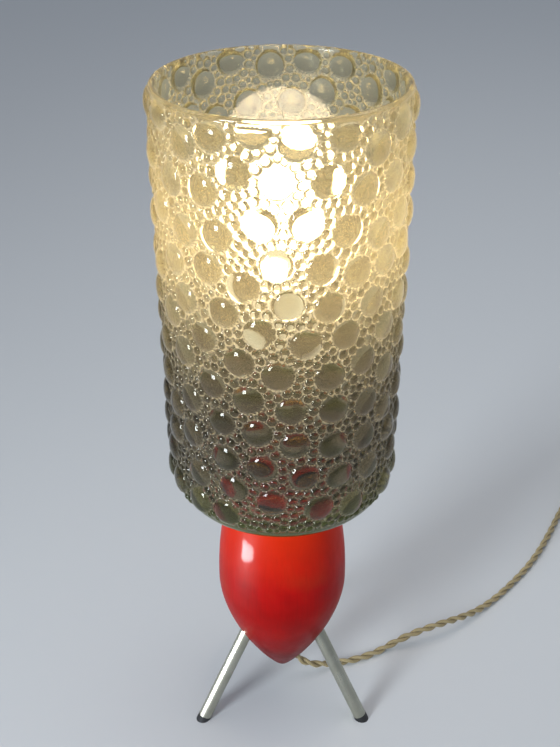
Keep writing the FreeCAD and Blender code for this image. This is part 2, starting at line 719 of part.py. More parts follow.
def holder_contact():
    """A sheet spring: a base in the recess and a tongue that turns back over it."""
    low = CERAMIC_TOP_Z - CERAMIC_RECESS_DEPTH
    top = CERAMIC_TOP_Z
    sheet = CONTACT_SHEET
    reach = CONTACT_HALF_LENGTH
    tongue = CONTACT_TONGUE_HALF
    corners = [
        at(-reach, low),
        at(reach, low),
        at(reach, low + 2 * sheet),
        at(tongue, top),
        at(-tongue, top),
        at(-tongue, top - sheet),
        at(tongue - sheet / 2, top - sheet),
        at(reach - sheet, low + 2 * sheet - sheet / 4),
        at(reach - sheet, low + sheet),
        at(-reach, low + sheet),
    ]
    return side_profile(path(corners + corners[:1]), CONTACT_WIDTH / 2)


# Bulb

def bulb_cap():
    """The screw cap: its rolled thread is a row of rounded rings."""
    edges = []
    z = CAP_Z + CAP_ROOT_RADIUS - INSULATOR_TOP_RADIUS
    start = at(CAP_ROOT_RADIUS, z)
    edges += path([at(INSULATOR_TOP_RADIUS, CAP_Z), start])
    for _ in range(CAP_THREAD_TURNS):
        end = start + UP * CAP_THREAD_PITCH
        crest = at(CAP_CREST_RADIUS, start.z + CAP_THREAD_PITCH / 2)
        edges.append(arc(start, crest, end))
        start = end
    rim_z = CAP_Z + INSULATOR_RIM
    edges += path([
        start,
        at(CAP_ROOT_RADIUS, CAP_TOP_Z),
        at(CAP_INNER_RADIUS, CAP_TOP_Z),
        at(CAP_INNER_RADIUS, rim_z),
        at(INSULATOR_TOP_RADIUS, rim_z),
        at(INSULATOR_TOP_RADIUS, CAP_Z),
    ])
    return lathe(edges)


def globe_outline(inset):
    """The globe's outline from the neck to the top, drawn in by the glass's thickness."""
    radius = GLOBE_RADIUS - inset
    neck_radius = CAP_INNER_RADIUS - SLIP - inset
    angle = math.radians(GLOBE_SHOULDER_ANGLE)
    shoulder = at(radius * math.cos(angle), GLOBE_Z + radius * math.sin(angle))
    along = at(math.sin(angle), -math.cos(angle))
    middle = at(radius, GLOBE_Z)
    top = at(0, GLOBE_Z + radius)
    upper = math.radians((90 + GLOBE_SHOULDER_ANGLE) / 2)
    over = at(radius * math.cos(upper), GLOBE_Z + radius * math.sin(upper))
    neck_top = at(neck_radius, CAP_TOP_Z)
    lower_handle = neck_top + UP * GLOBE_SHOULDER_HANDLE
    upper_handle = shoulder + along * GLOBE_SHOULDER_HANDLE
    below = at(radius * math.cos(angle / 2), GLOBE_Z + radius * math.sin(angle / 2))
    return [
        line(at(neck_radius, NECK_Z), neck_top),
        bezier(neck_top, lower_handle, upper_handle, shoulder),
        arc(shoulder, below, middle),
        arc(middle, over, top),
    ]


def bulb_envelope():
    outer = globe_outline(0)
    inner = globe_outline(GLOBE_WALL)
    neck = CAP_INNER_RADIUS - SLIP
    closing = [
        line(at(neck, NECK_Z), at(neck - GLOBE_WALL, NECK_Z)),
        line(at(0, GLOBE_Z + GLOBE_RADIUS), at(0, GLOBE_Z + GLOBE_RADIUS - GLOBE_WALL)),
    ]
    return lathe(outer + inner + closing)


def bulb_parts():
    flare = CAP_INNER_RADIUS - 2 * SLIP - GLOBE_WALL
    flare_top = NECK_Z + MOUNT_FLARE_THICKNESS
    mount_top = NECK_Z + MOUNT_HEIGHT
    filament = [
        at(-FILAMENT_LEAD_SPREAD, mount_top),
        at(-FILAMENT_LEAD_SPREAD, mount_top + FILAMENT_LEAD_HEIGHT),
        at(-FILAMENT_HALF_WIDTH, mount_top + FILAMENT_RISE),
        at(0, mount_top + FILAMENT_RISE + FILAMENT_ARCH),
        at(FILAMENT_HALF_WIDTH, mount_top + FILAMENT_RISE),
        at(FILAMENT_LEAD_SPREAD, mount_top + FILAMENT_LEAD_HEIGHT),
        at(FILAMENT_LEAD_SPREAD, mount_top),
    ]
    return {
        "bulb_envelope": bulb_envelope(),
        "bulb_cap": bulb_cap(),
        "bulb_insulator": turned([
            (0, INSULATOR_Z),
            (INSULATOR_BOTTOM_RADIUS, INSULATOR_Z),
            (INSULATOR_TOP_RADIUS, CAP_Z),
            (INSULATOR_TOP_RADIUS, CAP_Z + INSULATOR_RIM),
            (0, CAP_Z + INSULATOR_RIM),
        ]),
        "bulb_contact": turned([
            (0, BULB_Z),
            (BULB_CONTACT_FLAT_RADIUS, BULB_Z),
            (BULB_CONTACT_RADIUS, BULB_Z + BULB_CONTACT_HEIGHT / 2),
            (BULB_CONTACT_RADIUS, INSULATOR_Z),
            (0, INSULATOR_Z),
        ]),
        "bulb_mount": turned([
            (0, NECK_Z),
            (flare, NECK_Z),
            (flare, flare_top),
            (MOUNT_STEM_RADIUS, flare_top + 2 * MOUNT_STEM_RADIUS),
            (MOUNT_STEM_RADIUS, mount_top),
            (0, mount_top),
        ]),
        "bulb_filament": flex(filament, "bulb_filament", FILAMENT_WIRE_RADIUS),
    }


# In-line switch

def switch_frame():
    turn = FreeCAD.Rotation(UP, SWITCH_HEADING)
    along = direction(SWITCH_HEADING)
    middle = SWITCH_INLET + along * SWITCH_HALF_LENGTH
    return FreeCAD.Placement(V(middle.x, middle.y, 0), turn)


def switch_prism(inset, low, high):
    """A prism on the switch's outline, drawn in by inset, with rounded upright edges."""
    half = SWITCH_HALF_LENGTH - inset
    end = SWITCH_END_HALF_WIDTH - inset
    wide = SWITCH_HALF_WIDTH - inset
    middle = SWITCH_MIDDLE_HALF_LENGTH
    right = [(half, end), (middle, wide), (-middle, wide), (-half, end)]
    left = [(x, -y) for x, y in reversed(right)]
    body = prism(right + left, low, high)
    upright = [
        edge for edge in body.Edges
        if edge.Vertexes[0].X == edge.Vertexes[1].X and edge.Vertexes[0].Y == edge.Vertexes[1].Y
    ]
    return body.makeFillet(SWITCH_CORNER, upright)


def switch_posts():
    """Places of the two screws, on opposite sides of the flex."""
    return [(-SWITCH_POST_X, SWITCH_POST_Y), (SWITCH_POST_X, -SWITCH_POST_Y)]


def cord_holes():
    end = V(SWITCH_HALF_LENGTH, 0, SWITCH_PARTING)
    other_end = V(-SWITCH_HALF_LENGTH, 0, SWITCH_PARTING)
    return rod(other_end, end, CORD_RADIUS + CORD_BORE_CLEARANCE)


def switch_base():
    body = switch_prism(0, 0, SWITCH_PARTING)
    body = body.cut(switch_prism(SWITCH_WALL, SWITCH_WALL, SWITCH_PARTING)).cut(cord_holes())
    for x, y in switch_posts():
        foot = V(x, y, 0)
        body = body.fuse(rod(foot + UP * SWITCH_WALL, foot + UP * SWITCH_PARTING, SWITCH_POST_RADIUS))
        body = body.cut(rod(foot, foot + UP * SWITCH_PARTING, SWITCH_SCREW_RADIUS + SLIP))
        body = body.cut(rod(foot, foot + UP * SWITCH_HEAD_HEIGHT, SWITCH_HEAD_RADIUS + SLIP))
    return body.removeSplitter()


def rocker_lug(side):
    """An ear under the cover that holds one end of the rocker's pin."""
    inner = ROCKER_HALF_WIDTH + CLEAR
    edges = sorted((side * inner, side * (inner + LUG_THICKNESS)))
    ceiling = SWITCH_HEIGHT - SWITCH_TOP_WALL
    return block((-LUG_HALF_LENGTH, LUG_HALF_LENGTH), edges, (ceiling - LUG_DEPTH, ceiling))


def switch_cover():
    top = SWITCH_HEIGHT
    ceiling = top - SWITCH_TOP_WALL
    body = switch_prism(0, SWITCH_PARTING, top)
    rim = [edge for edge in body.Edges if abs(edge.CenterOfMass.z - top) < SLIP]
    body = body.makeFillet(SWITCH_EDGE, rim)
    body = body.cut(switch_prism(SWITCH_WALL, SWITCH_PARTING, ceiling)).cut(cord_holes())
    length = ROCKER_RADIUS + CLEAR
    width = ROCKER_HALF_WIDTH + CLEAR
    body = body.cut(block((-length, length), (-width, width), (ceiling, top)))
    for side in (-1, 1):
        body = body.fuse(rocker_lug(side))
    pin_end = V(0, PIN_HALF_LENGTH, ROCKER_PIVOT_Z)
    body = body.cut(rod(V(0, -pin_end.y, pin_end.z), pin_end, PIN_RADIUS + SLIP))
    for x, y in switch_posts():
        foot = V(x, y, SWITCH_PARTING)
        body = body.fuse(rod(foot, V(x, y, ceiling), SWITCH_POST_RADIUS))
        tip = V(x, y, SWITCH_HEAD_HEIGHT + SWITCH_SCREW_LENGTH)
        body = body.cut(rod(foot, tip, SWITCH_SCREW_RADIUS + SLIP))
    return body.removeSplitter()


def switch_screw(place):
    foot = V(place[0], place[1], 0)
    head_top = foot + UP * SWITCH_HEAD_HEIGHT
    head = rod(foot + UP * SWITCH_HEAD_SUNK, head_top, SWITCH_HEAD_RADIUS)
    return head.fuse(rod(head_top, head_top + UP * SWITCH_SCREW_LENGTH, SWITCH_SCREW_RADIUS))


def rocker():
    """A rocker with a hollowed top, round ends about its pin and a foot under the pin."""
    pivot = at(0, ROCKER_PIVOT_Z)
    reach = math.sqrt(ROCKER_RADIUS ** 2 - ROCKER_END_TOP ** 2)
    low_reach = math.sqrt(ROCKER_RADIUS ** 2 - ROCKER_UNDERSIDE ** 2)
    left = pivot + at(-reach, ROCKER_END_TOP)
    right = pivot + at(reach, ROCKER_END_TOP)
    right_low = pivot + at(low_reach, -ROCKER_UNDERSIDE)
    left_low = pivot + at(-low_reach, -ROCKER_UNDERSIDE)
    foot = ROCKER_FOOT_HALF_WIDTH
    edges = [
        arc(left, pivot + at(0, ROCKER_VALLEY), right),
        arc(right, pivot + at(ROCKER_RADIUS, 0), right_low),
        arc(left_low, pivot + at(-ROCKER_RADIUS, 0), left),
    ]
    edges += path([
        right_low,
        pivot + at(foot, -ROCKER_UNDERSIDE),
        pivot + at(foot, -ROCKER_FOOT_DEPTH),
        pivot + at(-foot, -ROCKER_FOOT_DEPTH),
        pivot + at(-foot, -ROCKER_UNDERSIDE),
        left_low,
    ])
    body = side_profile(edges, ROCKER_HALF_WIDTH)
    pin_end = V(0, PIN_HALF_LENGTH, ROCKER_PIVOT_Z)
    body = body.cut(rod(V(0, -pin_end.y, pin_end.z), pin_end, PIN_RADIUS + RUNNING))
    return turned_about(body, pivot, V(0, 1, 0), ROCKER_TILT)


def contact_blade():
    """A flat bar across the fulcrum, its end on the side of the live contact down."""
    half = BLADE_HALF_LENGTH
    wide = BLADE_HALF_WIDTH
    bar = block((-half, half), (-wide, wide), (BLADE_PIVOT_Z, BLADE_PIVOT_Z + BLADE_THICKNESS))
    return turned_about(bar, at(0, BLADE_PIVOT_Z), V(0, 1, 0), -BLADE_TILT)


def post_top():
    """The height at which the tipped blade's underside meets a contact post."""
    return BLADE_PIVOT_Z - CONTACT_POST_X * math.tan(math.radians(BLADE_TILT)) - BLADE_GAP


def terminal(side, first_x):
    """A floor strip from first_x to a wire block, with the post that the blade lands on."""
    low = SWITCH_WALL
    wide = TERMINAL_HALF_WIDTH
    block_half = TERMINAL_BLOCK_HALF
    spans = [
        ((first_x, TERMINAL_BLOCK_X), (low, low + TERMINAL_SHEET)),
        ((TERMINAL_BLOCK_X - block_half, TERMINAL_BLOCK_X + block_half), (low, TERMINAL_BLOCK_TOP)),
        ((CONTACT_POST_X - CONTACT_POST_WIDTH, CONTACT_POST_X), (low, post_top())),
    ]
    pieces = [
        block(sorted((side * near, side * far)), (-wide, wide), heights)
        for (near, far), heights in spans
    ]
    return pieces[0].multiFuse(pieces[1:]).removeSplitter()


def fulcrum_terminal():
    low = SWITCH_WALL
    wedge = path([
        at(-FULCRUM_HALF_BASE, low),
        at(FULCRUM_HALF_BASE, low),
        at(0, BLADE_PIVOT_Z - BLADE_GAP),
        at(-FULCRUM_HALF_BASE, low),
    ])
    return terminal(1, 0).fuse(side_profile(wedge, TERMINAL_HALF_WIDTH)).removeSplitter()


def cord_tail(side):
    end = V(side * SWITCH_HALF_LENGTH, 0, SWITCH_PARTING)
    return rod(end, end - V(side * SWITCH_TAIL_LENGTH, 0, 0), CORD_RADIUS)


def cord_grip(side):
    """A bar that presses on the flex inside the housing."""
    x = side * (SWITCH_HALF_LENGTH - SWITCH_TAIL_LENGTH + GRIP_WIDTH / 2)
    low = SWITCH_PARTING + CORD_RADIUS
    along = (x - GRIP_WIDTH / 2, x + GRIP_WIDTH / 2)
    return block(along, (-GRIP_HALF_SPAN, GRIP_HALF_SPAN), (low, low + GRIP_THICKNESS))


def switch_parts():
    pin_end = V(0, PIN_HALF_LENGTH, ROCKER_PIVOT_Z)
    posts = switch_posts()
    parts = {
        "switch_base": switch_base(),
        "switch_cover": switch_cover(),
        "switch_rocker": rocker(),
        "switch_pin": rod(V(0, -pin_end.y, pin_end.z), pin_end, PIN_RADIUS),
        "switch_blade": contact_blade(),
        "switch_terminal_plug_side": fulcrum_terminal(),
        "switch_terminal_lamp_side": terminal(-1, CONTACT_POST_X - CONTACT_POST_WIDTH),
        "switch_screw_left": switch_screw(posts[0]),
        "switch_screw_right": switch_screw(posts[1]),
        "switch_tail_lamp_side": cord_tail(-1),
        "switch_tail_plug_side": cord_tail(1),
        "switch_grip_lamp_side": cord_grip(-1),
        "switch_grip_plug_side": cord_grip(1),
    }
    return {name: moved(shape, switch_frame()) for name, shape in parts.items()}


# Coil

def coil_path():
    """The coil's half circles, straight ends included, and points along it."""
    z = CORD_RADIUS
    x = COIL_OUTER_RADIUS
    side = -1
    climb = COIL_LOWER_HALF_TURNS
    inward_and_out = list(range(climb + 1)) + list(range(climb - 1, 0, -1))
    place = COIL_MIDDLE + V(x, 0, z)
    edges = [line(place + V(0, COIL_END_STRAIGHT, 0), place)]
    for step in inward_and_out:
        radius = COIL_OUTER_RADIUS - step * COIL_PITCH / 2
        rise = COIL_PITCH if step == climb else 0
        end = place + V(2 * side * radius, 0, rise)
        middle = (place + end) * 0.5 + V(0, side * (end - place).Length / 2, 0)
        edges.append(arc(place, middle, end))
        place = end
        side = -side
    edges.append(line(place, place - V(0, COIL_END_STRAIGHT, 0)))
    return edges


def least_gap(edges):
    """The tube's least distance to another of its own turns, measured on points."""
    points = []
    for edge in edges:
        count = max(2, int(edge.Length / COIL_SAMPLE_STEP))
        points += edge.discretize(count)[:-1]
    half_turn = int(math.pi * COIL_OUTER_RADIUS / 2 / COIL_SAMPLE_STEP)
    least = min(
        first.distanceToPoint(second)
        for index, first in enumerate(points)
        for second in points[index + half_turn:]
    )
    return least - 2 * CORD_RADIUS


def coil():
    edges = coil_path()
    print(f"cord_coil: least gap to itself {least_gap(edges):.2f}")
    start = edges[0].Vertexes[0].Point
    return swept(edges, start, V(0, -1, 0), CORD_RADIUS, "cord_coil")


# Plug

def plug_frame():
    turn = FreeCAD.Rotation(UP, PLUG_HEADING)
    start = PLUG_INLET + direction(PLUG_HEADING) * RELIEF_LENGTH
    return FreeCAD.Placement(V(start.x, start.y, 0), turn)


def plug_pin(side):
    """A round pin, sleeved next to the body, bare and rounded at its tip, leaning to the other one."""
    lean = math.degrees(math.atan((PLUG_PIN_SPREAD - PLUG_PIN_TIP_SPREAD) / 2 / PLUG_PIN_LENGTH))
    bare_start = PLUG_PIN_LENGTH - PLUG_PIN_BARE_LENGTH
    bare = cylinder(PLUG_PIN_RADIUS, bare_start, PLUG_PIN_LENGTH)
    tips = [edge for edge in bare.Edges if abs(edge.CenterOfMass.z - PLUG_PIN_LENGTH) < SLIP]
    bare = bare.makeFillet(PLUG_PIN_TIP, tips)
    pin = bare.fuse(cylinder(PLUG_PIN_SLEEVE_RADIUS, -PLUG_PIN_BURIED, bare_start))
    pin.rotate(ORIGIN, V(0, 1, 0), 90)
    pin.rotate(ORIGIN, UP, -side * lean)
    pin.translate(V(PLUG_LENGTH, side * PLUG_PIN_SPREAD / 2, PLUG_THICKNESS / 2))
    return pin


def plug_body():
    right = [
        (0, PLUG_REAR_HALF_WIDTH),
        (PLUG_WAIST_X, PLUG_WAIST_HALF_WIDTH),
        (PLUG_SHOULDER_X, PLUG_FRONT_HALF_WIDTH),
        (PLUG_LENGTH, PLUG_FRONT_HALF_WIDTH),
    ]
    left = [(x, -y) for x, y in reversed(right)]
    body = prism(right + left, 0, PLUG_THICKNESS)
    body = body.makeFillet(PLUG_EDGE, body.Edges)
    return body.cut([plug_pin(-1), plug_pin(1)])


def plug_relief():
    """A tapered sleeve with grooves, ahead of the plug's rear face."""
    bands = 2 * RELIEF_GROOVES + 1
    step = RELIEF_LENGTH / bands
    outline = [(0, 0)]
    for k in range(bands):
        radius = RELIEF_TIP_RADIUS + (RELIEF_RADIUS - RELIEF_TIP_RADIUS) * (k + 0.5) / bands
        if k % 2:
            radius -= RELIEF_GROOVE_DEPTH
        outline += [(radius, k * step), (radius, (k + 1) * step)]
    outline.append((0, RELIEF_LENGTH))
    relief = turned(outline)
    relief.rotate(ORIGIN, V(0, 1, 0), 90)
    relief.translate(V(-RELIEF_LENGTH, 0, PLUG_THICKNESS / 2))
    return relief


def plug_parts():
    parts = {
        "plug_body": plug_body(),
        "plug_relief": plug_relief(),
        "plug_pin_left": plug_pin(1),
        "plug_pin_right": plug_pin(-1),
    }
    return {name: moved(shape, plug_frame()) for name, shape in parts.items()}


# Flex

def cord_parts():
    into_switch = direction(SWITCH_HEADING)
    switch_outlet = SWITCH_INLET + into_switch * 2 * SWITCH_HALF_LENGTH
    into_plug = direction(PLUG_HEADING)
    coil_edges = coil_path()
    coil_start = coil_edges[0].Vertexes[0].Point
    coil_end = coil_edges[-1].Vertexes[-1].Point
    lamp_run = [exit_point(EXIT_LENGTH), exit_point(EXIT_LENGTH + EXIT_STRAIGHT)]
    lamp_run += [V(*point) for point in LAMP_ROUTE]
    lamp_run += [SWITCH_INLET - into_switch * SWITCH_LEAD, SWITCH_INLET]
    switch_run = [switch_outlet, switch_outlet + into_switch * SWITCH_LEAD]
    switch_run += [V(*point) for point in SWITCH_ROUTE] + [coil_start]
    plug_run = [coil_end] + [V(*point) for point in PLUG_ROUTE]
    plug_run += [PLUG_INLET - into_plug * PLUG_LEAD, PLUG_INLET]
    inner_run = [V(0, 0, CERAMIC_Z), V(0, 0, EXIT_BEND_Z), exit_point(EXIT_LENGTH)]
    return {
        "inner_cord": flex(inner_run, "inner_cord", share=INNER_ARC_SHARE),
        "cord_lamp_run": flex(lamp_run, "cord_lamp_run"),
        "cord_switch_run": flex(switch_run, "cord_switch_run"),
        "cord_coil": coil(),
        "cord_plug_run": flex(plug_run, "cord_plug_run"),
    }


def lamp_parts():
    parts = {"wooden_egg": wooden_egg(), "exit_bushing": exit_bushing()}
    parts.update(leg_parts())
    parts.update(stem_parts())
    parts["glass_shade"] = glass_shade()
    parts["holder_cap"] = holder_cap()
    parts["holder_skirt"] = holder_skirt()
    parts["holder_ceramic"] = holder_ceramic()
    parts["holder_shell"] = holder_shell()
    parts["holder_contact"] = holder_contact()
    parts["holder_screw_left"] = terminal_screw(-1)
    parts["holder_screw_right"] = terminal_screw(1)
    parts.update(bulb_parts())
    parts.update(cord_parts())
    parts.update(switch_parts())
    parts.update(plug_parts())
    return parts


def main():
    os.makedirs("parts", exist_ok=True)
    parts = lamp_parts()
    for name, shape in parts.items():
        solids = len(shape.Solids)
        valid = shape.isValid()
        if solids != 1 or not valid or shape.Volume <= 0:
            print(f"CHECK {name}: {solids} solids, valid {valid}, volume {shape.Volume:.1f}")
        shape.exportStep(f"parts/{name}.step")
    print(f"{len(parts)} parts")


main()
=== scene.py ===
"""Looks of the table lamp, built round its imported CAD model.

A lacquered wooden egg on three slanted legs carries a cylindrical glass shade, whose outside
is covered with bubbles in relief. A lit globe bulb stands in it on a metal stem. A twisted
two-core flex runs from the egg past an in-line switch to a coil and a flat plug.
Metres, in the CAD model's own frame: +Z is up and the front looks along -Y.
"""

from __future__ import annotations

import logging
import math
import random
from dataclasses import dataclass
from enum import Enum
from typing import Protocol

import bmesh
import bpy
import numpy as np
from bmesh.types import BMesh
from bpy.types import Material, NodeSocket
from mathutils import Matrix, Vector
from mathutils.geometry import delaunay_2d_cdt


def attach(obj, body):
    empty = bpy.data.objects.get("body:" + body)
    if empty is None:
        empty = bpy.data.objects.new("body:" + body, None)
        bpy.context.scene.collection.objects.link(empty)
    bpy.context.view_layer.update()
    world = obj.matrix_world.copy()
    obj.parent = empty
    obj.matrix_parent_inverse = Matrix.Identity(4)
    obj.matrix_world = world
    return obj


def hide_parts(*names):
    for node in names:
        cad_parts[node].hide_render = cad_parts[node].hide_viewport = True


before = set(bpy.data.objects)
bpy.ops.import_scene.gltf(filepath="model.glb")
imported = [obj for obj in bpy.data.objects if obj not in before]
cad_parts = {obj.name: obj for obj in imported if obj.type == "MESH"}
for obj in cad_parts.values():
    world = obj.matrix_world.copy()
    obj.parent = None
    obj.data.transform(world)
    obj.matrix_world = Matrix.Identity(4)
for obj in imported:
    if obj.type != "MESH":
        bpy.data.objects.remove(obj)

log = logging.getLogger("table_lamp")

Colour = tuple[float, float, float]
Place = tuple[float, float, float]
Span = tuple[float, float]
Pixel = tuple[int, int]

MM = 0.001
UP = Vector((0.0, 0.0, 1.0))


# Node graphs


class NodeGraph:
    """The node tree of one material, with short calls for the nodes that the finishes share."""

    def __init__(self, name: str) -> None:
        """Starts an empty tree with its output, in a new material of that name.

        Args:
            name: the material's name.
        """
        self.material = bpy.data.materials.new(name)
        self.material.use_nodes = True
        self.tree = self.material.node_tree
        self.tree.nodes.clear()
        self.output = self.tree.nodes.new("ShaderNodeOutputMaterial")

    def add(self, kind: str, sockets: dict | None = None, **settings: object) -> bpy.types.Node:
        """Adds a node.

        Args:
            kind: the node's type.
            sockets: inputs by name or number, each a value or a socket to link from.
            settings: the node's own properties.

        Returns:
            The node.
        """
        node = self.tree.nodes.new(kind)
        for key, value in settings.items():
            setattr(node, key, value)
        for key, value in (sockets or {}).items():
            if isinstance(value, NodeSocket):
                self.tree.links.new(value, node.inputs[key])
            else:
                node.inputs[key].default_value = value
        return node

    def place(
        self, size: Place = (1.0, 1.0, 1.0), turn: Place = (0.0, 0.0, 0.0), centre: Place = (0.0, 0.0, 0.0)
    ) -> NodeSocket:
        """Object coordinates, moved to a centre, turned, and measured in a feature's size.

        Args:
            size: the feature's size along each axis, in metres.
            turn: Euler angles of the pattern's own axes.
            centre: the pattern's origin.

        Returns:
            The vector socket.
        """
        source = self.add("ShaderNodeTexCoord").outputs["Object"]
        sockets = {"Vector": source, "Location": centre, "Rotation": turn, "Scale": size}
        return self.add("ShaderNodeMapping", sockets, vector_type="TEXTURE").outputs["Vector"]

    def noise(
        self, size: float | Place, detail: float = 2.0, rough: float = 0.5, turn: Place = (0.0, 0.0, 0.0)
    ) -> NodeSocket:
        """Cloudy noise on the object's coordinates.

        Args:
            size: its features' size in metres, one for all axes or one for each.
            detail: octaves.
            rough: how strong the finer octaves are.
            turn: Euler angles of the pattern's own axes.

        Returns:
            The noise's value socket.
        """
        sizes = size if isinstance(size, tuple) else (size,) * 3
        sockets = {"Vector": self.place(sizes, turn), "Scale": 1.0, "Detail": detail, "Roughness": rough}
        return self.add("ShaderNodeTexNoise", sockets).outputs["Fac"]

    def ramp(self, value: NodeSocket, stops: list[tuple[float, Colour | float]]) -> NodeSocket:
        """A colour or grey that follows a value.

        Args:
            value: the driving value, 0 to 1.
            stops: places with their colour, or with a grey as one number.

        Returns:
            The colour socket.
        """
        node = self.add("ShaderNodeValToRGB", {"Fac": value})
        elements = node.color_ramp.elements
        while len(elements) < len(stops):
            elements.new(0.5)
        for element, (place, colour) in zip(elements, stops):
            element.position = place
            full = colour if isinstance(colour, tuple) else (colour,) * 3
            element.color = (*full, 1.0)
        return node.outputs["Color"]

    def span(self, value: NodeSocket, across: Span, result: Span = (0.0, 1.0)) -> NodeSocket:
        """A value carried from one range to another, held at the ends.

        Args:
            value: the value.
            across: where it starts and ends.
            result: the results there.

        Returns:
            The result's socket.
        """
        ranges = dict(zip(("From Min", "From Max", "To Min", "To Max"), across + result))
        return self.add("ShaderNodeMapRange", {"Value": value} | ranges).outputs["Result"]

    def bump(
        self, height: NodeSocket, distance: float, strength: float, normal: NodeSocket | None = None
    ) -> NodeSocket:
        """A bumped normal.

        Args:
            height: the height, 0 to 1.
            distance: the height's scale in metres.
            strength: how much of it counts.
            normal: a bump to add this one to.

        Returns:
            The normal socket.
        """
        sockets = {"Height": height, "Distance": distance, "Strength": strength}
        if normal is not None:
            sockets["Normal"] = normal
        return self.add("ShaderNodeBump", sockets).outputs["Normal"]

    def compute(self, operation: str, *values: NodeSocket | float) -> NodeSocket:
        """The result of a math operation on values."""
        return self.add("ShaderNodeMath", dict(enumerate(values)), operation=operation).outputs[0]

    def mix(
        self, share: NodeSocket | float, first: NodeSocket | tuple, second: NodeSocket | tuple,
        how: str = "MIX",
    ) -> NodeSocket:
        """Two colours as one.

        Args:
            share: the second one's share.
            first: a colour, or its socket.
            second: the other.
            how: the blend type.

        Returns:
            The colour socket.
        """
        sockets = {"Factor": share, 6: first, 7: second}
        return self.add("ShaderNodeMix", sockets, data_type="RGBA", blend_type=how).outputs[2]

    def blend(self, share: NodeSocket | float, first: NodeSocket, second: NodeSocket) -> NodeSocket:
        """Two shaders as one, with the second one's share."""
        return self.add("ShaderNodeMixShader", {0: share, 1: first, 2: second}).outputs[0]

    def principled(self, sockets: dict) -> NodeSocket:
        """A Principled shader with the given inputs."""
        return self.add("ShaderNodeBsdfPrincipled", sockets).outputs[0]

    def finish(self, surface: NodeSocket) -> Material:
        """Links the last shader to the output and returns the material."""
        self.tree.links.new(surface, self.output.inputs["Surface"])
        return self.material


# Finishes


class Finish(Protocol):
    """What every finish can do."""

    def build(self) -> Material:
        """Makes the material."""


@dataclass(frozen=True)
class RedLacquer:
    """Glossy red lacquer over turned wood, darker towards the tip by painted shade, with painted orange bulb
    light near the top.
    """

    bright: Colour = (0.54, 0.003, 0.002)
    deep: Colour = (0.36, 0.002, 0.002)
    worn: Colour = (0.52, 0.018, 0.005)
    # top and tip: painted shade, a multiplier that darkens the lacquer towards the egg's lower end
    top: Colour = (1.0, 1.0, 1.0)
    tip: Colour = (0.36, 0.29, 0.29)
    painted_shade_heights: Span = (0.04, 0.16)
    # painted light: orange bulb light on the egg's top, where it meets the shade
    painted_bulb_glow: Colour = (0.80, 0.036, 0.004)
    painted_glow_heights: Span = (0.14, 0.2)
    painted_glow_share: float = 0.85
    cloud_size: float = 0.045
    grain_size: Place = (0.0016, 0.0016, 0.03)
    grain_depth: float = 0.00006
    wave_size: float = 0.016
    wave_depth: float = 0.0009
    scuff_size: Place = (0.009, 0.009, 0.02)

    def build(self) -> Material:
        """Makes the material.

        Returns:
            The material.
        """
        graph = NodeGraph("red_lacquer")
        cloud = graph.noise(self.cloud_size, 3.0, 0.55)
        colour = graph.ramp(cloud, [(0.3, self.deep), (0.55, self.bright), (0.72, self.worn)])
        grain = graph.noise(self.grain_size, 3.0, 0.6)
        streaked = graph.mix(1.0, colour, graph.ramp(grain, [(0.25, 0.86), (0.6, 1.0)]), "MULTIPLY")
        # painted shade: the colour is multiplied darker towards the tip
        height = graph.add("ShaderNodeSeparateXYZ", {0: graph.place()}).outputs["Z"]
        depth = graph.ramp(graph.span(height, self.painted_shade_heights), [(0.0, self.tip), (1.0, self.top)])
        painted_shade_colour = graph.mix(1.0, streaked, depth, "MULTIPLY")
        # painted light: orange bulb light mixed in near the top
        painted_glow_mask = graph.span(height, self.painted_glow_heights, (0.0, self.painted_glow_share))
        waved = graph.bump(graph.noise(self.wave_size, 1.0), self.wave_depth, 0.35)
        scuffs = graph.noise(self.scuff_size, 4.0, 0.65)
        return graph.finish(graph.principled({
            "Base Color": graph.mix(painted_glow_mask, painted_shade_colour, (*self.painted_bulb_glow, 1.0)),
            "Roughness": graph.span(scuffs, (0.35, 0.7), (0.35, 0.5)),
            "Specular IOR Level": 0.04,
            "Coat Weight": 0.13,
            "Coat IOR": 1.42,
            "Coat Roughness": 0.07,
            "Coat Normal": waved,
            "Normal": graph.bump(grain, self.grain_depth, 0.5, waved),
        }))


class MetalWork(Enum):
    """How a metal surface was worked, as a feature's size along its own axes."""

    BRUSHED_ALONG = (0.00045, 0.00045, 0.05)
    TURNED = (0.02, 0.02, 0.0004)
    PLATED = (0.006, 0.006, 0.006)
    ROLLED = (0.004, 0.004, 0.0015)


@dataclass(frozen=True)
class Metal:
    """A metal with the marks of its making, tarnish in patches and fine scratches."""

    name: str
    colour: Colour
    tarnish: Colour
    work: MetalWork
    roughness: float
    spread: float = 0.12
    mark_depth: float = 0.00002
    patch_size: float = 0.014
    turn: Place = (0.0, 0.0, 0.0)

    def build(self) -> Material:
        """Makes the material.

        Returns:
            The material.
        """
        graph = NodeGraph(self.name)
        marks = graph.noise(self.work.value, 3.0, 0.6, self.turn)
        patches = graph.noise(self.patch_size, 3.0, 0.6)
        low, high = self.roughness - self.spread / 2, self.roughness + self.spread / 2
        return graph.finish(graph.principled({
            "Base Color": graph.ramp(patches, [(0.32, self.tarnish), (0.6, self.colour)]),
            "Metallic": 1.0,
            "Roughness": graph.span(graph.compute("ADD", marks, patches), (0.7, 1.3), (high, low)),
            "Normal": graph.bump(marks, self.mark_depth, 0.6),
        }))


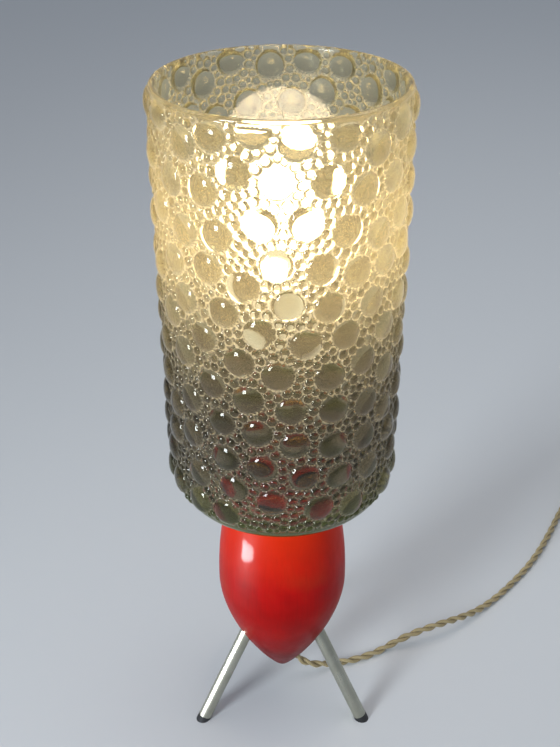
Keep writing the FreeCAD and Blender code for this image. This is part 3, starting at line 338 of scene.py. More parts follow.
@dataclass(frozen=True)
class Moulded:
    """Moulded plastic, rubber or glazed ceramic: a fine skin grain and a slight drift of colour."""

    name: str
    colour: Colour
    shade: Colour
    roughness: float
    grain: float = 0.0006
    depth: float = 0.00003
    coat: float = 0.0
    drift_size: float = 0.012
    rub_size: float = 0.004

    def build(self) -> Material:
        """Makes the material.

        Returns:
            The material.
        """
        graph = NodeGraph(self.name)
        drift = graph.noise(self.drift_size, 3.0, 0.6)
        rub = graph.noise(self.rub_size, 4.0, 0.7)
        return graph.finish(graph.principled({
            "Base Color": graph.ramp(drift, [(0.3, self.shade), (0.65, self.colour)]),
            "Roughness": graph.span(rub, (0.3, 0.7), (self.roughness - 0.06, self.roughness + 0.08)),
            "Coat Weight": self.coat,
            "Coat Roughness": 0.1,
            "Normal": graph.bump(graph.noise(self.grain), self.depth, 0.6),
        }))


@dataclass(frozen=True)
class SleevedPin:
    """A plug pin: dark moulded sleeve next to the plug, bright nickel towards the tip."""

    origin: Place
    azimuth: float
    bare_from: float = 0.064
    edge: float = 0.0001
    nickel: Colour = (0.70, 0.68, 0.64)
    worn: Colour = (0.56, 0.53, 0.47)
    sleeve: Colour = (0.028, 0.017, 0.012)
    mark_size: float = 0.0006
    patch_size: float = 0.004

    def build(self) -> Material:
        """Makes the material.

        Returns:
            The material.
        """
        graph = NodeGraph("sleeved_pin")
        own_axes = graph.place(turn=(0.0, 0.0, math.radians(self.azimuth)), centre=self.origin)
        along = graph.add("ShaderNodeSeparateXYZ", {0: own_axes}).outputs["X"]
        marks = graph.noise(self.mark_size, 3.0, 0.6)
        patches = graph.noise(self.patch_size, 3.0, 0.6)
        metal = graph.principled({
            "Base Color": graph.ramp(patches, [(0.35, self.worn), (0.6, self.nickel)]),
            "Metallic": 1.0,
            "Roughness": graph.span(marks, (0.3, 0.7), (0.14, 0.28)),
            "Normal": graph.bump(marks, 0.00001, 0.5),
        })
        plastic = graph.principled({
            "Base Color": (*self.sleeve, 1.0),
            "Roughness": graph.span(patches, (0.3, 0.7), (0.3, 0.42)),
            "Normal": graph.bump(marks, 0.00002, 0.5),
        })
        bare = graph.span(along, (self.bare_from - self.edge, self.bare_from + self.edge))
        return graph.finish(graph.blend(bare, plastic, metal))


@dataclass(frozen=True)
class ReliefGlass:
    """Smoky pressed glass, green at its foot, with painted bulb light: cream near the rim, painted shade
    below, pale painted light between the bubbles.

    Its level runs from 0 at the foot to 1 near the rim. Heights and reaches are in metres, and
    reaches are distances from the shade's axis.
    """

    # rim and middle: painted bulb light, cream near the top; shin and low: painted shade, darker lower down;
    # foot: the thick glass's own green
    rim: Colour = (0.96, 0.91, 0.77)
    middle: Colour = (0.86, 0.81, 0.66)
    low: Colour = (0.32, 0.26, 0.21)
    shin: Colour = (0.42, 0.37, 0.26)
    foot: Colour = (0.20, 0.25, 0.045)
    thick_foot: Colour = (0.095, 0.118, 0.012)
    floor: Colour = (0.86, 0.86, 0.74)
    veil: Colour = (1.0, 0.89, 0.64)
    valley_light: Colour = (0.80, 0.74, 0.58)
    # pale painted light in the hollows between the bubbles
    body: Colour = (0.72, 0.70, 0.53)
    density: float = 130.0
    roughness: float = 0.03
    heights: Span = (0.2, 0.5)
    floor_reaches: Span = (0.044, 0.058)
    seed_size: float = 0.0012
    seed_depth: float = 0.00004
    dust_size: float = 0.0009
    dust_levels: Span = (0.25, 0.7)
    dust_shares: Span = (0.018, 0.085)
    # how much of that pale painted light shows, by level and by depth between the bubbles
    valley_light_levels: Span = (0.2, 0.6)
    valley_light_shares: Span = (0.30, 0.56)
    valley_light_depths: Span = (0.15, 1.0)
    thick_levels: Span = (0.05, 0.095)
    thick_reaches: Span = (0.060, 0.066)
    thick_share: float = 0.62

    def tint_and_painted_light(self, graph: NodeGraph, level: NodeSocket, far: NodeSocket) -> NodeSocket:
        """The glass's colour with painted light: cream near the rim and painted shade lower down by height,
        green at the foot, and clearer in the floor over the egg.

        Args:
            graph: the node tree.
            level: the level.
            far: the distance from the shade's axis.

        Returns:
            The colour socket.
        """
        # painted light by height: cream bulb light near the top, painted shade below, green at the foot
        painted_light_by_height = graph.ramp(level, [
            (0.070, self.foot), (0.12, self.shin), (0.19, self.low), (0.34, self.low), (0.60, self.middle),
            (0.95, self.rim),
        ])
        return graph.mix(graph.span(far, self.floor_reaches), (*self.floor, 1.0), painted_light_by_height)

    def build(self) -> Material:
        """Makes the material.

        Returns:
            The material.
        """
        graph = NodeGraph("bubble_glass")
        parts = graph.add("ShaderNodeSeparateXYZ", {0: graph.place()})
        flat = graph.add("ShaderNodeCombineXYZ", {0: parts.outputs["X"], 1: parts.outputs["Y"]})
        far = graph.add("ShaderNodeVectorMath", {0: flat.outputs[0]}, operation="LENGTH").outputs["Value"]
        level = graph.span(parts.outputs["Z"], self.heights)
        glass = graph.principled({
            "Base Color": self.tint_and_painted_light(graph, level, far),
            "Roughness": self.roughness,
            "IOR": 1.5,
            "Transmission Weight": 1.0,
            "Normal": graph.bump(graph.noise(self.seed_size, 3.0, 0.6), self.seed_depth, 0.5),
        })
        dust = graph.add("ShaderNodeBsdfTranslucent", {"Color": (*self.veil, 1.0)}).outputs[0]
        grains = graph.span(graph.noise(self.dust_size, 2.0, 0.7), (0.35, 0.65), (0.5, 1.6))
        dusty = graph.compute("MULTIPLY", graph.span(level, self.dust_levels, self.dust_shares), grains)
        # painted light: a pale shader laid between the bubbles and on their lower sides
        painted_valley_light = graph.principled({"Base Color": (*self.valley_light, 1.0), "Roughness": 0.6})
        depth = graph.add("ShaderNodeAttribute", attribute_name="valley_light").outputs["Fac"]
        valley_light_share = graph.compute(
            "MULTIPLY", graph.span(level, self.valley_light_levels, self.valley_light_shares),
            graph.span(depth, self.valley_light_depths),
        )
        walls = graph.blend(valley_light_share, graph.blend(dusty, glass, dust), graph.blend(0.5, painted_valley_light, dust))
        thick = graph.principled({
            "Base Color": (*self.thick_foot, 1.0), "Roughness": 0.15, "Specular IOR Level": 0.25,
        })
        deep = graph.compute(
            "MULTIPLY", graph.span(level, self.thick_levels, (self.thick_share, 0.0)),
            graph.span(far, self.thick_reaches),
        )
        absorbed = graph.add(
            "ShaderNodeVolumeAbsorption", {"Color": (*self.body, 1.0), "Density": self.density}
        )
        graph.tree.links.new(absorbed.outputs["Volume"], graph.output.inputs["Volume"])
        return graph.finish(graph.blend(deep, walls, thick))


@dataclass(frozen=True)
class LitGlass:
    """The lit globe's opal glass."""

    colour: Colour = (1.0, 0.80, 0.52)
    opal: Colour = (0.98, 0.96, 0.9)
    clouded: Colour = (0.94, 0.9, 0.82)
    strength: float = 16.0
    cloud_size: float = 0.02

    def build(self) -> Material:
        """Makes the material.

        Returns:
            The material.
        """
        graph = NodeGraph("lit_opal_glass")
        cloud = graph.noise(self.cloud_size)
        return graph.finish(graph.principled({
            "Base Color": graph.ramp(cloud, [(0.2, self.clouded), (0.8, self.opal)]),
            "Roughness": 0.12,
            "Emission Color": (*self.colour, 1.0),
            "Emission Strength": self.strength,
        }))


@dataclass(frozen=True)
class BraidedCloth:
    """The flex's cloth cover: a fine braid that follows each core by its own UV map, with painted shade in
    its low parts.
    """

    colour: Colour = (0.52, 0.42, 0.22)
    # shade: painted shade, darkening the braid's low parts between the threads
    shade: Colour = (0.26, 0.19, 0.085)
    pitch: float = 0.0011
    threads: int = 6
    depth: float = 0.00012
    dirt_size: float = 0.03

    def build(self) -> Material:
        """Makes the material.

        Returns:
            The material.
        """
        graph = NodeGraph("gold_braid")
        uv = graph.add("ShaderNodeUVMap", uv_map="braid").outputs["UV"]
        parts = graph.add("ShaderNodeSeparateXYZ", {0: uv})
        waves = []
        for sign in (1.0, -1.0):
            around = graph.compute("MULTIPLY", parts.outputs["X"], sign * self.threads * math.tau)
            along = graph.compute("MULTIPLY_ADD", parts.outputs["Y"], math.tau / self.pitch, around)
            waves.append(graph.compute("SINE", along))
        height = graph.span(graph.compute("MULTIPLY", *waves), (-1.0, 1.0))
        # painted shade: the braid's low parts darker
        colour = graph.ramp(height, [(0.0, self.shade), (0.75, self.colour)])
        dirt = graph.ramp(graph.noise(self.dirt_size, 3.0, 0.6), [(0.3, 0.82), (0.65, 1.0)])
        return graph.finish(graph.principled({
            "Base Color": graph.mix(1.0, colour, dirt, "MULTIPLY"),
            "Roughness": 0.55,
            "Sheen Weight": 0.3,
            "Sheen Roughness": 0.4,
            "Normal": graph.bump(height, self.depth, 0.8),
        }))


@dataclass(frozen=True)
class PaleTop:
    """The studio's pale table top."""

    colour: Colour = (0.68, 0.695, 0.71)

    def build(self) -> Material:
        """Makes the material.

        Returns:
            The material.
        """
        graph = NodeGraph("pale_top")
        return graph.finish(graph.principled({
            "Base Color": (*self.colour, 1.0), "Roughness": 0.7, "Specular IOR Level": 0.2,
        }))


# Shared steps


def new_piece(name: str, mesh: bpy.types.Mesh, material: Material, smooth: bool = True) -> bpy.types.Object:
    """Puts a finished mesh into the scene.

    Args:
        name: the piece's name.
        mesh: its mesh, in place.
        material: its finish.
        smooth: whether its faces are shaded smooth.

    Returns:
        The object.
    """
    mesh.materials.clear()
    mesh.materials.append(material)
    mesh.polygons.foreach_set("use_smooth", [smooth] * len(mesh.polygons))
    piece = bpy.data.objects.new(name, mesh)
    bpy.context.scene.collection.objects.link(piece)
    return piece


def from_bmesh(name: str, shape: BMesh) -> bpy.types.Mesh:
    """Writes a bmesh to a new mesh and frees it.

    Args:
        name: the mesh's name.
        shape: the bmesh.

    Returns:
        The mesh.
    """
    mesh = bpy.data.meshes.new(name)
    shape.to_mesh(mesh)
    shape.free()
    return mesh


def dress(finish: Finish, *names: str) -> None:
    """Gives CAD nodes their finish.

    Args:
        finish: the finish.
        names: the nodes.
    """
    material = finish.build()
    for name in names:
        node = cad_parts[name]
        node.data.materials.clear()
        node.data.materials.append(material)
    log.info("dressed %s in %s", ", ".join(names), material.name)


def heading(azimuth: float, tilt: float = 90.0) -> Vector:
    """A unit vector at an azimuth from +X, tilted from straight down, in degrees."""
    flat, angle = math.sin(math.radians(tilt)), math.radians(azimuth)
    return Vector((flat * math.cos(angle), flat * math.sin(angle), -math.cos(math.radians(tilt))))


# Studio


@dataclass(frozen=True)
class PhotoView:
    """The photograph's camera: where it stands, how it is turned, and what each pixel looks at."""

    eye: Place = (0.0, -0.580, 0.658)
    pitch: float = 32.0
    yaw: float = 0.122
    roll: float = -0.16
    lens: float = 49.83
    sensor: float = 36.0
    pixels: tuple[int, int] = (560, 747)

    def turn(self) -> Matrix:
        """How the camera is turned from looking straight down.

        Returns:
            The turn.
        """
        return (
            Matrix.Rotation(math.radians(self.yaw), 4, "Z")
            @ Matrix.Rotation(math.radians(90.0 - self.pitch), 4, "X")
            @ Matrix.Rotation(math.radians(self.roll), 4, "Z")
        )

    def ray(self, pixel: Pixel) -> Vector:
        """The way in which a pixel looks.

        Args:
            pixel: the pixel, from the photograph's upper left corner.

        Returns:
            A vector in the lamp's frame.
        """
        focal = self.lens / self.sensor * self.pixels[1]
        right, up = pixel[0] - self.pixels[0] / 2, self.pixels[1] / 2 - pixel[1]
        return self.turn().to_3x3() @ Vector((right, up, -focal))


@dataclass(frozen=True)
class SoftLight:
    """A rectangular soft light that the camera doesn't see: its power in watts, its spread in degrees."""

    name: str
    place: Place
    aim: Place
    size: tuple[float, float]
    power: float
    colour: Colour
    spread: float = 180.0

    def build(self) -> bpy.types.Object:
        """Makes the light.

        Returns:
            The light.
        """
        data = bpy.data.lights.new(self.name, "AREA")
        data.shape = "RECTANGLE"
        data.size, data.size_y = self.size
        data.energy = self.power
        data.color = self.colour
        data.spread = math.radians(self.spread)
        lamp = bpy.data.objects.new(self.name, data)
        lamp.location = self.place
        lamp.rotation_euler = (Vector(self.aim) - Vector(self.place)).to_track_quat("-Z", "Y").to_euler()
        lamp.visible_camera = False
        bpy.context.scene.collection.objects.link(lamp)
        return lamp


@dataclass(frozen=True)
class Studio:
    """The pale table top, the soft lights and the camera at the photograph's angle."""

    view: PhotoView = PhotoView()
    floor_half: float = 8.0
    world_colour: Colour = (0.80, 0.88, 1.0)
    world_strength: float = 0.36
    window: SoftLight = SoftLight(
        "window", (-1.25, -1.35, 0.75), (0.0, 0.0, 0.25), (0.5, 0.75), 5.4, (0.86, 0.94, 1.0), spread=70.0
    )
    overhead: SoftLight = SoftLight(
        "overhead", (0.5, 0.3, 2.0), (0.0, 0.0, 0.2), (1.6, 1.6), 9.5, (1.0, 0.98, 0.95)
    )
    low_gleam: SoftLight = SoftLight(
        "low_gleam", (-0.267, -0.153, 0.043), (-0.024, -0.036, 0.173), (0.12, 0.045), 1.9, (0.95, 0.97, 1.0)
    )
    gleaming_nodes: tuple[str, ...] = ("wooden_egg", "leg_tube_left", "leg_tube_right", "leg_tube_back")

    def camera(self) -> None:
        """Makes the camera."""
        data = bpy.data.cameras.new("camera")
        data.lens = self.view.lens
        data.sensor_width = self.view.sensor
        data.clip_start, data.clip_end = 0.01, 50.0
        camera = bpy.data.objects.new("camera", data)
        camera.matrix_world = Matrix.Translation(self.view.eye) @ self.view.turn()
        bpy.context.scene.collection.objects.link(camera)
        bpy.context.scene.camera = camera

    def lights(self) -> None:
        """Makes the world's light and the soft lights. The low one gleams on the egg and the legs only."""
        world = bpy.data.worlds.new("soft_room")
        world.use_nodes = True
        background = world.node_tree.nodes["Background"]
        background.inputs["Color"].default_value = (*self.world_colour, 1.0)
        background.inputs["Strength"].default_value = self.world_strength
        bpy.context.scene.world = world
        self.window.build()
        self.overhead.build()
        gleam = self.low_gleam.build()
        gleam.visible_diffuse = False
        gleaming = bpy.data.collections.new("gleaming")
        for name in self.gleaming_nodes:
            gleaming.objects.link(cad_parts[name])
        gleam.light_linking.receiver_collection = gleaming

    def build(self) -> None:
        """Makes the whole studio."""
        shape = bmesh.new()
        bmesh.ops.create_grid(shape, x_segments=2, y_segments=2, size=self.floor_half)
        floor = new_piece("table_top", from_bmesh("table_top", shape), PaleTop().build(), smooth=False)
        self.lights()
        self.camera()
        bpy.context.scene.view_settings.view_transform = "Standard"
        log.info("studio ready")


# Flex


@dataclass
class TwistedFlex:
    """Two cloth-covered cores twisted round each other along a smooth route."""

    name: str
    route: list[Place]
    material: Material
    diameter: float = 0.006
    pitch: float = 0.0235
    steps_per_turn: int = 18
    sides: int = 8

    def curve_mesh(self, kind: str, points: list, bevel: float = 0.0) -> bpy.types.Mesh:
        """The mesh of a curve.

        Args:
            kind: the spline's type, POLY or NURBS.
            points: the spline's points.
            bevel: the radius of the tube round it, or 0 for the bare line.

        Returns:
            The mesh.
        """
        data = bpy.data.curves.new(self.name + "_line", "CURVE")
        data.dimensions = "3D"
        data.resolution_u = 16
        data.bevel_depth = bevel
        data.bevel_resolution = self.sides // 2 - 2
        spline = data.splines.new(kind)
        spline.points.add(len(points) - 1)
        for point, place in zip(spline.points, points):
            point.co = (*place, 1.0)
        spline.order_u = 3
        spline.use_endpoint_u = True
        holder = bpy.data.objects.new(self.name + "_line", data)
        mesh = bpy.data.meshes.new_from_object(holder)
        bpy.data.objects.remove(holder)
        bpy.data.curves.remove(data)
        return mesh

    def centreline(self) -> list[Vector]:
        """The route's NURBS spline, read as evenly spaced points, ends included.

        Returns:
            The points.
        """
        mesh = self.curve_mesh("NURBS", self.route)
        raw = np.array([vertex.co for vertex in mesh.vertices])
        bpy.data.meshes.remove(mesh)
        runs = np.concatenate([[0.0], np.cumsum(np.linalg.norm(np.diff(raw, axis=0), axis=1))])
        count = max(8, round(runs[-1] / self.pitch * self.steps_per_turn))
        even = np.linspace(0.0, runs[-1], count + 1)
        return [Vector(p) for p in np.stack([np.interp(even, runs, raw[:, k]) for k in range(3)], axis=1)]

    def core(self, points: list[Vector], phase: float) -> bpy.types.Mesh:
        """One core: a tube round a helix about the route.

        Args:
            points: the route's points.
            phase: where on the route's circle the core starts, in radians.

        Returns:
            The tube's mesh.
        """
        radius = self.diameter / 4
        side = UP.cross(points[1] - points[0])
        side = side.normalized() if side.length > 1e-9 else Vector((1.0, 0.0, 0.0))
        helix = []
        for index, place in enumerate(points):
            along = (points[min(index + 1, len(points) - 1)] - points[max(index - 1, 0)]).normalized()
            side = (side - along * side.dot(along)).normalized()
            turn = Matrix.Rotation(phase + math.tau * index / self.steps_per_turn, 3, along)
            helix.append(place + turn @ side * radius)
        return self.curve_mesh("POLY", helix, radius)

    def map_braid(self, shape: BMesh, sides: int) -> None:
        """Writes the braid's UV map on the cores: round each in turns, along it in metres.

        Args:
            shape: the bmesh that holds both cores, ring by ring.
            sides: vertices in a ring.
        """
        shape.verts.index_update()
        layer = shape.loops.layers.uv.new("braid")
        step = self.pitch / self.steps_per_turn
        for face in shape.faces:
            turns = [vertex.index % sides for vertex in face.verts]
            wraps = 0 in turns and sides - 1 in turns
            for loop, vertex, turn in zip(face.loops, face.verts, turns):
                around = sides if wraps and turn == 0 else turn
                loop[layer].uv = (around / sides, vertex.index // sides * step)

    def build(self) -> tuple[bpy.types.Object, list[Vector]]:
        """Makes the flex.

        Returns:
            The piece, and the points that it follows.
        """
        points = self.centreline()
        shape = bmesh.new()
        for phase in (0.0, math.pi):
            core = self.core(points, phase)
            shape.from_mesh(core)
            bpy.data.meshes.remove(core)
        self.map_braid(shape, len(shape.verts) // (2 * len(points)))
        boundary = [edge for edge in shape.edges if edge.is_boundary]
        bmesh.ops.holes_fill(shape, edges=boundary, sides=0)
        bmesh.ops.recalc_face_normals(shape, faces=shape.faces)
        piece = new_piece(self.name, from_bmesh(self.name, shape), self.material)
        log.info("%s: %d rings", self.name, len(points))
        return piece, points


class FlexRoutes:
    """The flex's route, as in the CAD source, with its switch and plug places."""

    exit_base = Vector((0.0, 0.0, 0.0715))
    exit_way = heading(45.0, 16.0)
    exit_length = 0.045
    exit_lead = 0.0072
    bend_lead = 0.012
    ceramic_z = 0.330
    stem_z = 0.2
    switch_inlet = Vector((0.300, 0.2386, 0.007))
    switch_way = heading(36.0)
    switch_length = 0.066
    switch_tail = 0.009
    plug_inlet = Vector((0.3783, 0.1513, 0.00685))
    plug_azimuth = 222.0
    plug_way = heading(plug_azimuth)
    lead = 0.013
    lamp_points: list[Place] = [
        (14.6, 10.0, 15.6), (21.2, 8.8, 11.9), (30.0, 11.0, 8.3), (40.0, 15.2, 4.8), (51.6, 18.6, 3.0),
        (65.6, 22.8, 3.0), (79.3, 29.0, 3.2), (91.6, 35.6, 5.6), (105.4, 39.6, 11.4), (120.0, 43.8, 14.7),
        (137.4, 51.2, 14.5), (154.8, 62.0, 10.2), (171.9, 75.6, 5.2), (188.8, 91.4, 3.0), (206.0, 109.2, 3.0),
        (224.2, 130.0, 3.0), (241.2, 153.8, 3.0), (257.4, 181.2, 3.0), (269.6, 203.6, 3.0),
        (279.0, 219.6, 3.2),
    ]
    switch_points: list[Place] = [
        (378.4, 288.2, 4.4), (391.0, 281.0, 3.0), (399.2, 267.0, 3.0), (401.2, 247.2, 3.0),
        (396.5, 227.6, 3.0),
    ]
    plug_points: list[Place] = [(396.5, 186.0, 9.5), (394.6, 172.6, 8.2)]
    coil_middle: Place = (356.0, 203.0, 3.0)
    coil_radius = 40.5
    coil_pitch = 6.5
    coil_half_turns = 6
    coil_straight = 6.0
    points_per_half_turn = 6

    @staticmethod
    def metres(points: list[Place]) -> list[Place]:
        """Points in millimetres, in metres."""
        return [tuple(value * MM for value in point) for point in points]

    def exit_point(self, distance: float) -> Vector:
        """A place on the slanted bore, at a distance from where it meets the egg's axis."""
        return self.exit_base + self.exit_way * distance

    def lamp_run(self) -> list[Place]:
        """From the egg to the switch.

        Returns:
            The route's points, in metres.
        """
        start = [self.exit_point(self.exit_length), self.exit_point(self.exit_length + self.exit_lead)]
        end = [self.switch_inlet - self.switch_way * self.lead, self.switch_inlet]
        return [tuple(p) for p in start] + self.metres(self.lamp_points) + [tuple(p) for p in end]

    def inner_run(self) -> list[Place]:
        """From the lamp holder down the stem and out through the egg.

        Returns:
            The route's points, in metres.
        """
        heights = (self.ceramic_z, self.stem_z, self.exit_base.z + self.bend_lead)
        slanted = [self.exit_point(distance) for distance in (0.0, self.bend_lead, self.exit_length)]
        return [(0.0, 0.0, height) for height in heights] + [tuple(p) for p in slanted]

    def tail(self, plug_side: bool) -> list[Place]:
        """The end of the flex inside the switch, on one side of it.

        Args:
            plug_side: whether it is the side of the plug.

        Returns:
            The route's points, in metres.
        """
        start = self.switch_inlet + self.switch_way * (self.switch_length if plug_side else 0.0)
        way = self.switch_way * (-self.switch_tail if plug_side else self.switch_tail)
        return [tuple(start + way * share) for share in (0.0, 0.5, 1.0)]

    def coil(self) -> list[Place]:
        """The coil's turns: in on the table, up a layer, and out again on top.

        Returns:
            The route's points, in millimetres.
        """
        x, y, z = self.coil_middle
        half = self.coil_half_turns
        place, side = x + self.coil_radius, -1
        widen = 1.0 / math.cos(math.pi / self.points_per_half_turn / 2)
        points = [(place, y + self.coil_straight, z)]
        for step in list(range(half + 1)) + list(range(half - 1, 0, -1)):
            radius = self.coil_radius - step * self.coil_pitch / 2
            rise = self.coil_pitch if step == half else 0.0
            centre = place + side * radius
            for k in range(self.points_per_half_turn):
                share = (k + 0.5) / self.points_per_half_turn
                angle = math.pi * share
                points.append((
                    centre - side * radius * widen * math.cos(angle),
                    y + side * radius * widen * math.sin(angle),
                    z + rise * share,
                ))
            place += 2 * side * radius
            side = -side
            z += rise
        points.append((place, y - self.coil_straight, z))
        return points

    def plug_run(self) -> list[Place]:
        """From the switch through the coil to the plug.

        Returns:
            The route's points, in metres.
        """
        outlet = self.switch_inlet + self.switch_way * self.switch_length
        middle = self.metres(self.switch_points + self.coil() + self.plug_points)
        end = [self.plug_inlet - self.plug_way * self.lead, self.plug_inlet]
        return [tuple(outlet), tuple(outlet + self.switch_way * self.lead)] + middle + [tuple(p) for p in end]


# Shade


@dataclass(frozen=True)
class ReliefPoint:
    """A mesh point of the relief: its place, the surface's slopes there, and its share of pale painted light.
    """

    along: float
    down: float
    rise: float = 0.0
    slope_along: float = 0.0
    slope_down: float = 0.0
    valley_light: float = 0.0


@dataclass(frozen=True)
class Bubble:
    """One bubble of the relief, on the shade's unrolled outside, in millimetres.

    Its rings are shares of its radius, each with a count of points. Under the lip its upper
    half is pressed down to its headroom.
    """

    along: float
    down: float
    radius: float
    height: float
    rings: tuple[tuple[float, int], ...]
    headroom: float = 99.0
    flatness: float = 2.2
    roundness: float = 0.58
    steepest_share: float = 0.94
    foot_share: float = 0.8
    stir: float = 0.002

    def slope(self, share: float) -> float:
        """How steeply the bubble falls at a share of its radius.

        Args:
            share: the share.

        Returns:
            The slope.
        """
        share = min(share, self.steepest_share)
        fall = (1.0 - share ** self.flatness) ** (self.roundness - 1.0)
        proportion = self.height / self.radius
        return proportion * self.roundness * fall * self.flatness * share ** (self.flatness - 1.0)

    def valley_light(self, share: float, downward: float) -> float:
        """How much pale painted light lies at a share of the radius: most at the foot, and on the lower side
        a painted crescent of bulb light.

        Args:
            share: the share.
            downward: how far down the side faces, from -1 to 1.

        Returns:
            The painted light's share, 0 to 1.
        """
        # painted light: a pale line at the foot, a crescent on the lower side
        if share >= 1.0:
            return 0.75 + 0.25 * downward
        return max(0.0, 0.4 * downward) if share > self.foot_share else 0.0

    def points(self, rng: random.Random) -> list[ReliefPoint]:
        """The bubble's mesh points.

        Args:
            rng: gives each ring its turn and keeps the points off one common circle.

        Returns:
            The points, from the crown outwards.
        """
        result = [ReliefPoint(self.along, self.down, self.height)]
        pressed = min(1.0, self.headroom / self.radius)
        for share, count in self.rings:
            rise = self.height * max(0.0, 1.0 - share ** self.flatness) ** self.roundness
            turn = rng.uniform(0.0, math.tau)
            steep = self.slope(share)
            for k in range(count):
                angle = turn + math.tau * k / count
                radius = self.radius * share + rng.uniform(-self.stir, self.stir)
                across, downward = math.cos(angle), math.sin(angle)
                press = pressed if downward < 0.0 else 1.0
                result.append(ReliefPoint(
                    self.along + radius * across, self.down + radius * downward * press, rise,
                    steep * across, steep * downward / press, self.valley_light(share, downward),
                ))
        return result


@dataclass(frozen=True)
class SeenBubbles:
    """The large bubbles' middles as read off the photograph, in its pixels."""

    near_wall: tuple[Pixel, ...] = (
        (158, 112), (253, 131), (347, 134), (403, 122), (153, 152), (182, 143), (209, 135), (297, 144),
        (379, 148), (410, 145), (171, 179), (202, 190), (233, 174), (277, 184), (329, 182), (366, 189),
        (394, 176), (162, 206), (260, 225), (306, 224), (400, 212), (185, 230), (216, 236), (348, 231),
        (379, 233), (175, 259), (276, 266), (385, 260), (207, 268), (323, 270), (358, 272), (186, 298),
        (243, 288), (372, 301), (173, 311), (223, 313), (288, 306), (330, 308), (168, 337), (204, 337),
        (259, 334), (346, 335), (384, 325), (185, 351), (306, 345), (363, 360), (170, 370), (239, 363),
        (278, 377), (330, 377), (384, 367), (192, 398), (212, 384), (248, 401), (291, 412), (334, 409),
        (366, 402), (193, 433), (222, 422), (257, 434), (364, 436), (295, 446), (333, 445), (200, 473),
        (226, 458), (262, 469), (339, 475), (368, 465), (234, 488), (304, 478), (272, 503), (319, 508),
        (351, 503),
    )
    far_wall: tuple[Pixel, ...] = (
        (229, 60), (270, 65), (308, 60), (344, 65), (177, 75), (201, 84), (324, 91), (374, 90), (396, 77),
        (247, 103), (292, 101), (214, 118), (352, 120),
    )


